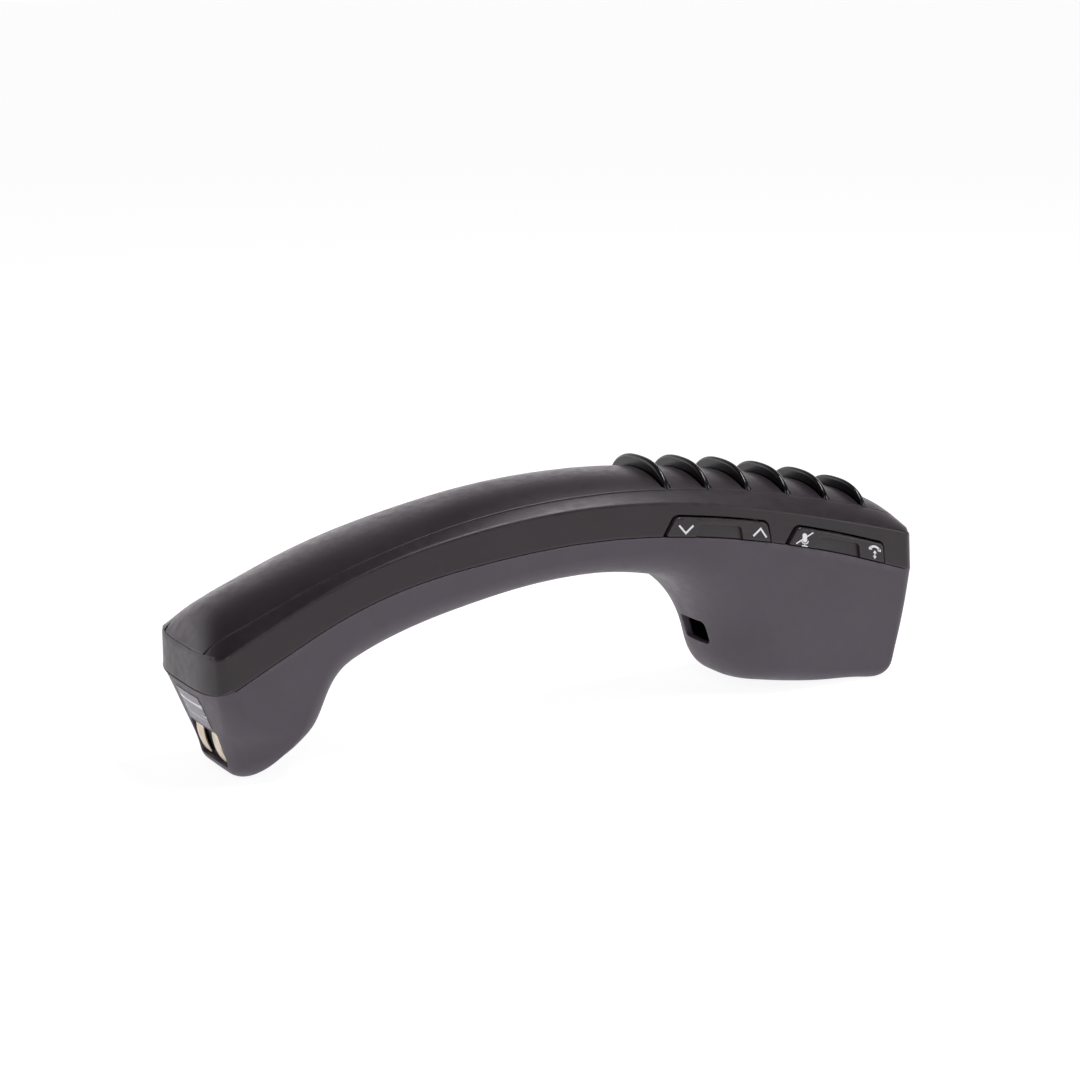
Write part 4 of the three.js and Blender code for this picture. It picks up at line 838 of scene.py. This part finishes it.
# ------------------------------------------------------------------ front housing and door
def front_housing():
    front = front_shell()
    bm = bmesh.new()
    bm.from_mesh(front.data)
    skin = BVHTree.FromBMesh(bm)
    bm.free()

    def skin_cutter(name, outline, place, inward, **sizes):
        def depth_at(a, b):
            start = (place(a, b) + [X_SHIFT, 0, 0]) * 0.001
            hit = skin.ray_cast(Vector(start.tolist()), Vector(list(inward)), 0.06)
            return math.nan if hit[0] is None else hit[3] * 1000

        return mouth_cutter(name, outline, place, inward, depth_at, **sizes)

    # slot in the inner side of the ear cup
    slot = refine(round_box(-6, 6, 12.95, 19.45, 1.3), 0.7)
    cuts = [skin_cutter("hook_cut", slot, lambda a, b: np.array([30.0, a, b]), (1, 0, 0),
                        radius=0.35, depth=9.0)]
    # microphone hole, square to the skin
    u = u_at(lambda x, z: x >= -81.6, 20.0)
    before, after = front_point(u - 2, 0.0), front_point(u + 2, 0.0)
    inward = np.array([before[2] - after[2], 0, after[0] - before[0]])
    inward /= np.linalg.norm(inward)
    across = np.array([inward[2], 0, -inward[0]])
    mic_start = front_point(u, 0.0) - inward * 4
    cuts.append(skin_cutter(
        "mic_cut", circle(0, 0, 1.0), lambda a, b: mic_start + across * a + [0, b, 0], inward,
        radius=0.3, depth=3.0, outside=1.0))
    # charging recess
    recess = refine(round_box(-8.6, 8.6, -4.8, 4.8, 0.9), 0.8)
    charge_start = CHARGE_MID - CHARGE_IN * 6
    cuts.append(skin_cutter(
        "chg_cut", recess, lambda a, b: charge_start + CHARGE_DOWN * b + [0, a, 0], CHARGE_IN,
        radius=0.3, depth=4.3))
    # battery door opening
    gap, below = 0.18, 28.0
    opening = refine(round_box(DOOR_X0 - gap, DOOR_X1 + gap, -DOOR_Y - gap, DOOR_Y + gap, 1.6),
                     1.0)
    cuts.append(mouth_cutter(
        "door_cut", opening, lambda a, b: np.array([a, b, below]), (0, 0, 1),
        lambda a, b: float(under_z(a)) - below, radius=0.22, depth=4.0))
    # sound holes in the ear face, in rings: ring radius, count, first angle
    for i, (r, count, phase) in enumerate([(0, 1, 0), (4.2, 6, 0), (8.4, 12, 0.26)]):
        for j in range(count):
            a = phase + j / count * 2 * math.pi
            hole = circle(79.5 + r * math.cos(a), r * math.sin(a), 0.9)
            cuts.append(skin_cutter(
                f"ear_cut_{i}_{j}", hole, lambda a, b: np.array([a, b, -4.0]), (0, 0, 1),
                radius=0.28, depth=3.2, outside=1.0, steps=4))
    boolean(front, cuts)
    finish_cut(front, "root", "front_plastic", "front_housing")


def battery_door():
    corner, edge_r, thick = 1.5, 0.2, 1.6
    edge = np.array([0, 0.02, 0.06, 0.12, 0.2])
    xs = np.concatenate([DOOR_X0 + edge, np.linspace(DOOR_X0 + 0.2, DOOR_X1 - 0.2, 130)[1:-1],
                         DOOR_X1 - edge[::-1]])
    ys = np.concatenate([-DOOR_Y + edge, np.linspace(-DOOR_Y + 0.2, DOOR_Y - 0.2, 46)[1:-1],
                         DOOR_Y - edge[::-1]])
    X, Y = np.meshgrid(xs, ys, indexing="ij")

    def corner_part(X, Y):
        """How far each point lies into the corner squares."""
        return (np.maximum(corner - np.minimum(X - DOOR_X0, DOOR_X1 - X), 0),
                np.maximum(corner - (DOOR_Y - np.abs(Y)), 0))

    # the grid's square corners are drawn in to round ones
    in_x, in_y = corner_part(X, Y)
    scale, length = np.maximum(in_x, in_y), np.hypot(in_x, in_y) + 1e-9
    both = (in_x > 0) & (in_y > 0)
    to_x = np.where(both, in_x * scale / length, in_x)
    to_y = np.where(both, in_y * scale / length, in_y)
    ends = np.where(X - DOOR_X0 < DOOR_X1 - X, DOOR_X0 + corner - to_x, DOOR_X1 - corner + to_x)
    X = np.where(in_x > 0, ends, X)
    Y = np.where(in_y > 0, np.sign(Y) * (DOOR_Y - corner + to_y), Y)
    Z = under_z(X) + edge_drop(corner - np.hypot(*corner_part(X, Y)), edge_r)
    # finger dish and grip lines at the +X end
    Z = Z + 0.55 * np.exp(-((((X - (DOOR_X1 - 6.5)) / 2.6) ** 2 + (Y / 6.5) ** 2) ** 2))
    line_end = 1 / (1 + np.exp((np.abs(Y) - 6.2) * 6))
    Z = Z + sum(0.32 * np.exp(-(((X - (DOOR_X1 - d)) / 0.35) ** 2)) * line_end
                for d in (11.2, 12.9, 14.6))
    bottom = np.stack([X, Y, under_z(X) + thick], -1)
    door = make("battery_door_shell", *shell(np.stack([X, Y, Z], -1), bottom))
    # two L-shaped hooks at the -X end: a post, then a tongue past the edge
    x, z = DOOR_X0, float(under_z(DOOR_X0))
    tools = []
    for i, y in enumerate((-7.5, 4.5)):
        for j, box in enumerate(((x + 0.2, x + 1.6, z + 1.0, z + 3.6),
                                 (x - 2.4, x + 1.6, z + 2.5, z + 3.6))):
            Q = round_box(*box, 0.25, 4)
            rings = [[(p[0], side, p[1]) for p in Q] for side in (y, y + 3)]
            tools.append(make(f"door_hook_{i}_{j}", *ring_loft(rings)))
    boolean(door, tools, "UNION")
    finish_cut(door, "battery_door", "front_plastic", "battery_door")


# ------------------------------------------------------------------ rear frame
def end_points(ear, half, inset, r):
    """x, y along one end from y = 0 to the half width, flat part then corner."""
    turn = np.linspace(0, math.pi / 2, 14)
    flat = np.sin(np.linspace(0, math.pi / 2, 36, endpoint=False))
    y = np.concatenate([(half - r) * flat, half - r + r * np.sin(turn)])
    curl = np.concatenate([np.zeros(36), r * (1 - np.cos(turn))])
    if ear:
        return X_EAR - inset - BULGE_EAR * (y / half) ** 2.5 - curl, y
    return X_MOUTH + inset + BULGE_MOUTH * (y / 20.0) ** 4 + curl, y


def plan_loop(inset, end_inset, corner, steps=430):
    """Plan of the handset drawn in by inset(x) at the sides and end_inset at the ends."""
    def half_at(x):
        return width(x) / 2 - inset(x)

    r = max(corner - end_inset, 0.5)
    xr, yr = end_points(True, float(half_at(103.0)), end_inset, r)
    xl, yl = end_points(False, float(half_at(-99.0)), end_inset, r)
    xs = xl[-1] + (xr[-1] - xl[-1]) * (np.arange(1, steps) / steps)
    # the side meets the end's half width over the last 4 mm
    wr = np.clip((xs - (xr[-1] - 4)) / 4, 0, 1) ** 2
    wl = np.clip(((xl[-1] + 4) - xs) / 4, 0, 1) ** 2
    hs = half_at(xs) * (1 - wr - wl) + wr * yr[-1] + wl * yl[-1]
    x = np.concatenate([xs, xr[::-1], xr[1:], xs[::-1], xl[::-1], xl[1:]])
    y = np.concatenate([-hs, -yr[::-1], yr[1:], hs[::-1], yl[::-1], -yl[1:]])
    return x, y


def rear_shell():
    soft, soft_end = 0.62, 0.30  # insets of the crease's rounding, at the side and the end
    rim_r, rim_corner = 0.22, 0.9  # opening for the panel: edge rounding, plan corner
    rings = []

    def ring(inset, end_inset, height, corner=CORNER_R):
        inset_at = inset if callable(inset) else lambda x: inset
        x, y = plan_loop(inset_at, end_inset, corner)
        rings.append(np.stack([x, y, height(x, y)], 1))

    def opening(x):
        return width(x) / 2 - panel_y(x)

    # lip at the seam
    for a in np.linspace(0, math.pi / 2, 5):
        s, dz = LIP * (1 - math.sin(a)), LIP * (1 - math.cos(a))
        ring(s, s, lambda x, y: seam_z(x) + SEAM_GAP + dz)
    # side wall
    for t in np.linspace(0, 1, 17)[1:]:
        ring(CREASE_IN * t, 0.12 * t, lambda x, y: (
            (seam_z(x) + SEAM_GAP + LIP) * (1 - t) + (crease_z(x) - 0.55) * t))
    # rounded crease, a quadratic curve
    for t in np.linspace(0, 1, 9)[1:]:
        b0, b1, b2 = (1 - t) ** 2, 2 * t * (1 - t), t * t

        def crease(x, y):
            z = crease_z(x)
            in_y = np.sign(y) * (width(x) / 2 - CREASE_IN - soft)
            y = np.where(np.abs(y) > 0.8 * width(x) / 2, in_y, y)
            return b0 * (z - 0.55) + b1 * (z + 0.02) + b2 * top_z(x, y)

        ring(CREASE_IN * b0 + (CREASE_IN + 0.03) * b1 + (CREASE_IN + soft) * b2,
             0.12 * b0 + 0.12 * b1 + soft_end * b2, crease)
    # rear face, from the crease to the opening
    for t in np.linspace(0, 1, 12)[1:]:
        ring(lambda x: (CREASE_IN + soft) * (1 - t) + (opening(x) - rim_r) * t,
             soft_end + (RIM - 0.1 - soft_end) * t, top_z,
             corner=CORNER_R * (1 - t) + rim_corner * t)
    for a in np.linspace(0, math.pi / 2, 5)[1:]:
        k = rim_r * (1 - math.sin(a))
        ring(lambda x: opening(x) - k, RIM - 0.45 * k,
             lambda x, y: top_z(x, y) - rim_r * (1 - math.cos(a)), corner=rim_corner)
    ring(opening, RIM, lambda x, y: top_z(x, y) - 2.15, corner=rim_corner)
    # ledge under the panel, then the inside of the wall
    for depth in (2.15, 3.3):
        ring(lambda x: opening(x) + 1.8, RIM + 2, lambda x, y: top_z(x, y) - depth)
    ring(2.1, 2.1, lambda x, y: crease_z(x) - 3.0)
    ring(1.9, 1.9, lambda x, y: seam_z(x) + SEAM_GAP)
    return make("rear_frame_shell", *ring_loft(rings, close=True))


def rear_frame():
    """The upper shell with the two key pockets."""
    rear = rear_shell()
    # the pocket's mouth follows a side leaning in by 0.05 per mm of height
    cuts = [
        mouth_cutter(body + "_pocket", key_outline(key["pocket"]),
                     lambda a, b: side_points((a, b), 0), (0, 1, 0),
                     lambda a, b: 0.05 * max(0, min(b, 9)), radius=0.20, depth=4.2)
        for body, key in KEYS.items()
    ]
    boolean(rear, cuts)
    finish_cut(rear, "root", "back_plastic", "rear_frame")


# ------------------------------------------------------------------ rear panel
def panel_shell():
    gap, r, thick = 0.15, 0.22, 1.9
    half, length = 14.0, 206.3  # nominal sizes that set the spacing of the edge rows
    edge = np.array([0, 0.02, 0.06, 0.12, 0.17, 0.22, 0.4, 0.8])
    last = edge[-1]
    across = np.concatenate([edge / half, np.linspace(last / half, 2 - last / half, 64)[1:-1],
                             2 - edge[::-1] / half]) - 1
    along = np.concatenate([edge, np.linspace(last, length - last, 560)[1:-1],
                            length - edge[::-1]]) / length
    E, T = np.meshgrid(across, along, indexing="xy")
    x0 = X_MOUTH + RIM + 0.06 + BULGE_MOUTH * np.abs(E * 12.2 / 20.0) ** 4
    x1 = X_EAR - RIM - 0.06 - BULGE_EAR * np.abs(E) ** 2.5
    X = x0 + (x1 - x0) * T
    Y = E * (panel_y(X) - gap)
    to_edge = np.minimum(np.minimum(X - x0, x1 - X), np.minimum(1 + E, 1 - E) * half)
    Z = top_z(X, Y)
    top = np.stack([X, Y, Z - edge_drop(to_edge, r)], -1)
    return make("rear_panel_shell", *shell(top, np.stack([X, Y, Z - thick], -1)))


def rear_panel():
    """The panel in the rear face, with a slot for each rib."""
    panel = panel_shell()
    cuts = []
    above = 80.0
    for i, x in enumerate(RIB_X):
        h = float(panel_y(x)) - 0.75
        slot = refine(round_box(x - 1.32, x + 1.45, -h, h, 0.6, 6), 0.6)
        cuts.append(mouth_cutter(
            f"slot_{i}", slot, lambda a, b: np.array([a, b, above]), (0, 0, -1),
            lambda a, b: above - float(top_z(a, b)), radius=0.15, depth=3.0))
    boolean(panel, cuts)
    finish_cut(panel, "root", "back_plastic", "rear_panel")


# ------------------------------------------------------------------ grip ribs
def rib_rings(rib_x, n=96):
    """Sections of one rib across the handset: a round-topped bar that sinks at its ends."""
    half = float(panel_y(rib_x)) - 0.25
    for k in range(n + 1):
        y = -half * math.cos(math.pi * k / n)
        f = abs(y) / half
        h = 3.35 * max(0.0, 1 - f**4.2) ** 0.62 - 0.02
        w = 1.02 * (1 - 0.30 * f**10)
        foot = -1.7 + 1.5 * f**12
        r = min(w * 1.05, max(h, 0) + 0.25)
        round_top = [(w * math.cos(a), h - r + r * math.sin(a))
                     for a in np.linspace(math.pi, 0, 15)]
        q = np.array([(-w, foot), *round_top, (w, foot)])
        x = rib_x + q[:, 0]
        yield np.stack([x, np.full(len(x), y), top_z(x, y) + q[:, 1]], 1)


def rib_leg_rings(rib_x, half=0.8, low=2.8, high=1.2):
    for y in np.linspace(-9.5, 9.5, 20):
        z = float(top_z(rib_x, y))
        x0, x1 = rib_x - half, rib_x + half
        yield [(x0, y, z - low), (x1, y, z - low), (x1, y, z - high), (x0, y, z - high)]


def grip_ribs():
    """The ribs, joined by legs to a strip under the panel."""
    ribs = make("grip_ribs", *ring_loft(list(rib_rings(RIB_X[0]))))
    others = [make(f"rib_{i}", *ring_loft(list(rib_rings(x)))) for i, x in enumerate(RIB_X[1:])]
    X, Y = np.meshgrid(np.linspace(25, 97, 60), np.linspace(-10, 10, 21), indexing="ij")
    Z = top_z(X, Y)
    sheets = [np.stack([X, Y, Z - depth], -1) for depth in (2.2, 3.4)]
    carrier = make("rib_strip", *shell(*sheets))
    legs = [make(f"rib_leg_{i}", *ring_loft(list(rib_leg_rings(x))))
            for i, x in enumerate(RIB_X)]
    boolean(ribs, others + legs + [carrier], "UNION")
    finish_cut(ribs, "root", "rib_plastic", "rib_insert", angle=40)


# ------------------------------------------------------------------ rocker keys
def cap_shell(name, key):
    P = key_outline(key["cap"])
    edge_r = np.interp(P[:, 1], [0.3, 2.5, 4.6], [0.26, 0.40, 0.66])  # rounder at the top
    back = -PROUD + CAP_T
    rings = [side_points(offset(P, -0.12), back), side_points(P, back - 0.12),
             side_points(P, -PROUD + edge_r + 0.02)]
    for a in np.linspace(0, math.pi / 2, 8)[1:]:
        rings.append(side_points(offset(P, -edge_r * (1 - math.cos(a))),
                                 -PROUD + edge_r * (1 - math.sin(a))))
    # rings in towards the key's middle line keep the face even
    edge = offset(P, -edge_r)
    middle_x = np.clip(edge[:, 0], P[:, 0].min() + 3.0, P[:, 0].max() - 3.0)
    core = np.stack([middle_x, np.full(len(P), 2.8)], 1)
    for t in (0.06, 0.2, 0.4, 0.6, 0.8):
        rings.append(side_points(edge * (1 - t) + core * t, -PROUD))
    return make(name, *ring_loft(rings))


def rocker(body, key):
    """Key cap with a recess in its face, and behind it a bored pivot lug and two nubs."""
    name = body + "_cap"
    cap = cap_shell(name, key)
    # the recess is open at the key's lower edge
    boolean(cap, [mouth_cutter(
        name + "_recess", key_outline(key["recess"], 8),
        lambda a, b: side_points((a, b), -PROUD), (0, 1, 0), lambda a, b: 0.0,
        radius=0.22, depth=0.95, outside=1.0)])
    # pivot frame: middle on the seam, directions along and up
    mid_x = sum(key["span"]) / 2
    slope = float(seam_z(mid_x + 12) - seam_z(mid_x - 12)) / 24
    along = np.array([1, 0, slope]) / math.hypot(1, slope)
    up = np.array([-along[2], 0, along[0]])

    def point(a, h, y):
        return np.array([mid_x, 0, float(seam_z(mid_x))]) + along * a + up * h + [0, y, 0]

    pin_y, arm = -16.35, key["arm"]
    tools = []
    # place along, half width, lower and upper height, inner end
    for i, (a, half, h0, h1, y1) in enumerate([
            (0, 1.9, 0.9, 4.0, pin_y + 1.35), (-arm, 0.9, 1.9, 3.9, -17.42),
            (arm, 0.9, 1.9, 3.9, -17.42)]):
        y0 = -float(width(mid_x + a)) / 2 - PROUD + CAP_T - 0.5
        Q = round_box(a - half, a + half, h0, h1, 0.3, 4)
        rings = [[point(a, h, y) for a, h in q]
                 for q, y in ((Q, y0), (Q, y1 - 0.2), (offset(Q, -0.2), y1))]
        tools.append(make(f"{name}_lug_{i}", *ring_loft(rings)))
    boolean(cap, tools, "UNION")
    pin = circle(0, 0, 0.95, 32)
    rings = [[point(0, 0, pin_y) + up * h + along * a + [0, y, 0] for a, y in pin]
             for h in (-0.5, 6.0)]
    boolean(cap, [make(name + "_bore", *ring_loft(rings))])
    finish_cut(cap, body, "key_plastic", body)


def symbols(name, body, shapes):
    """Thin raised symbols on a key's face, from outlines in x and height above the seam."""
    V, F, start = [], [], 0
    for shape in shapes:
        v, f = ring_loft([side_points(shape, -PROUD - out) for out in (0.035, -0.09)])
        V.append(v)
        F += [[k + start for k in face] for face in f]
        start += len(v)
    o = make(name, np.concatenate(V), F)
    smooth(o, 30)
    dress(o, body, "pale_plastic", material="icon_white")


def key_symbols():
    symbols("volume_symbols", "volume_rocker", [
        strip([(29.45, 3.35), (31.45, 1.25), (33.75, 3.35)], 0.52),
        strip([(52.15, 1.45), (54.45, 3.65), (56.25, 1.45)], 0.52),
    ])
    # struck-out microphone, around its middle
    microphone = [
        np.concatenate([arc_points((0, 0.75), 0.72, 0, 180, 12),
                        arc_points((0, -0.35), 0.72, 180, 360, 12)]),
        strip(arc_points((0, -0.30), 1.15, 190, 350, 14), 0.30),
        strip([(0, -1.4), (0, -2.05)], 0.34),
        strip([(-0.9, -2.05), (0.9, -2.05)], 0.32),
        strip([(-2.7, -1.75), (2.7, 2.0)], 0.34),
    ]
    # hung-up handset over a double arrow, around its middle
    handset = [strip(arc_points((0, -1.05), 1.95, 38, 142, 16), 0.62)]
    for s in (-1, 1):
        handset.append([(s * 1.95, -0.25), (s * 1.95, 0.45), (s * 1.05, 0.65), (s * 0.9, -0.2)])
    handset.append(strip([(0, -0.85), (0, -1.9)], 0.34))
    for base, tip in ((-0.95, -0.15), (-1.75, -2.55)):
        handset.append([(-0.62, base), (0, tip), (0.62, base)])
    symbols("mute_hook_symbols", "mute_hook_rocker",
            [np.asarray(shape) + middle
             for group, middle in ((microphone, (68.35, 2.55)), (handset, (91.0, 3.35)))
             for shape in group])


# ------------------------------------------------------------------ label and contacts
def end_label():
    """Thin film on the curved mouth end."""
    us = np.linspace(u_at(lambda x, z: z <= 21.5), u_at(lambda x, z: z <= 12.9), 28)
    U, Y = np.meshgrid(us, np.linspace(-7, 7, 50), indexing="ij")
    label = make("end_label_film", *shell(front_point(U, Y, 0.16), front_point(U, Y, 0.02)))
    smooth(label, 40)
    dress(label, "root", "label", "end_label")


def charge_contact(side, y):
    """Sprung strip with a crowned middle, in the charging recess."""
    reach, half, thick = 4.2, 2.5, 0.28
    length = np.linspace(-reach, reach, 40)
    bow = 0.95 - 0.62 * np.cos(length / reach * math.pi / 2) ** 0.8
    L, W = np.meshgrid(length, np.linspace(-1.0, 1.0, 15), indexing="ij")
    tip = np.clip((np.abs(L) - 3.2) / 1.0, 0, 1)
    half_w = half * (1 - 0.35 * tip**2)
    depth = np.interp(L, length, bow) + 0.10 * W**4
    across = np.stack([0 * L, y + W * half_w, 0 * L], -1)
    face = CHARGE_MID + CHARGE_DOWN * L[..., None] + CHARGE_IN * depth[..., None] + across
    o = make(f"charge_contact_{side}_spring", *shell(face, face + CHARGE_IN * thick))
    smooth(o, 40)
    dress(o, "root", "contact_metal", f"charge_contact_{side}")


def dress_carried_nodes():
    """Every carried-over node gets the finish of its slot."""
    for row in frame["record"]["subparts"]:
        o = frame["nodes"][row["node"]]
        material = MATERIALS[row["material_slot"]]
        if len(o.material_slots):
            for s in o.material_slots:
                s.material = material
        else:
            o.data.materials.append(material)


# ------------------------------------------------------------------ studio (metres)
def make_floor():
    size, z = 6.0, -0.00015
    mesh = bpy.data.meshes.new("floor")
    corners = [(-size, -size, z), (size, -size, z), (size, size, z), (-size, size, z)]
    mesh.from_pydata(corners, [], [(0, 1, 2, 3)])
    floor = bpy.data.objects.new("floor", mesh)
    SCENE.collection.objects.link(floor)
    material = bpy.data.materials.new("floor")
    material.use_nodes = True
    inputs = material.node_tree.nodes["Principled BSDF"].inputs
    for key, value in {
        "Base Color": (0.36, 0.36, 0.365, 1), "Roughness": 0.9, "Specular IOR Level": 0.1,
        "Emission Color": (1, 1, 1, 1), "Emission Strength": 0.88,
    }.items():
        inputs[key].default_value = value
    mesh.materials.append(material)


def make_world():
    """Plain white to the camera; for light, a room bright beyond the handset (+Y), dark
    behind the camera and dimmer overhead."""
    world = bpy.data.worlds.new("studio")
    SCENE.world = world
    w = Nodes(world)
    out = w.add("OutputWorld")
    seen = w.add("Background", {0: (1.0, 1.0, 1.0, 1), 1: 1.0})
    direction = w.add("TexCoord").outputs["Generated"]
    axes = w.add("SeparateXYZ", {0: direction}).outputs
    beyond = w.ramp(axes["Y"], span=(-0.05, 0.75), to=(0.03, 1.75))
    low = w.ramp(axes["Z"], span=(0.08, 0.62), to=(1.0, 0.11))
    strength = w.math("ADD", w.math("MULTIPLY", beyond, low), 0.04)
    room = w.add("Background", {0: (1.0, 0.95, 1.0, 1), 1: strength})
    to_camera = w.add("LightPath").outputs["Is Camera Ray"]
    pick = w.add("MixShader", {0: to_camera, 1: room.outputs[0], 2: seen.outputs[0]})
    w.set(out, {0: pick.outputs[0]})


def area(name, place, target, size, power, size_y=None, color=(1, 1, 1)):
    light = bpy.data.lights.new(name, "AREA")
    light.shape = "RECTANGLE"
    light.size, light.size_y = size, size_y or size
    light.energy, light.color = power, color
    o = bpy.data.objects.new(name, light)
    o.location = place
    o.rotation_euler = (Vector(target) - Vector(place)).to_track_quat("-Z", "Y").to_euler()
    SCENE.collection.objects.link(o)


def make_lights():
    area("softbox_top", place=(0.30, -0.14, 0.80), target=(0, 0, 0.03), size=0.50,
         size_y=0.16, power=3.8, color=(1.0, 0.97, 1.0))
    area("softbox_left", place=(-0.30, -0.75, 0.45), target=(0, 0, 0.03), size=0.35,
         power=1.5, color=(1.0, 0.96, 1.0))
    area("softbox_right", place=(0.65, -0.45, 0.30), target=(0.05, 0, 0.03), size=0.30,
         power=1.0)


def make_camera():
    turn, tilt, roll = math.radians(28.7), math.radians(13.3), math.radians(0.9)
    distance = 0.700
    target = Vector((-0.0010 + X_SHIFT * 0.001, 0, 0.0471))
    forward = Vector((math.sin(turn) * math.cos(tilt), math.cos(turn) * math.cos(tilt),
                      -math.sin(tilt)))
    level = Vector((math.cos(turn), -math.sin(turn), 0))
    upright = level.cross(forward)
    right = level * math.cos(roll) - upright * math.sin(roll)
    up = level * math.sin(roll) + upright * math.cos(roll)
    cam = bpy.data.objects.new("camera", bpy.data.cameras.new("camera"))
    SCENE.collection.objects.link(cam)
    rotation = Matrix((right, up, -forward)).transposed()
    cam.matrix_world = Matrix.Translation(target - forward * distance) @ rotation.to_4x4()
    cam.data.sensor_width = 36.0
    cam.data.lens = 89.1
    cam.data.clip_start, cam.data.clip_end = 0.01, 20.0
    SCENE.camera = cam
    SCENE.view_settings.view_transform = "Standard"
    SCENE.view_settings.look = "None"
    SCENE.view_settings.exposure = 0.0


# ------------------------------------------------------------------ build
make_materials()
front_housing()
battery_door()
rear_frame()
rear_panel()
grip_ribs()
for body, key in KEYS.items():
    rocker(body, key)
key_symbols()
end_label()
charge_contact("near", -5.2)
charge_contact("far", 5.2)
dress_carried_nodes()
make_floor()
make_world()
make_lights()
make_camera()
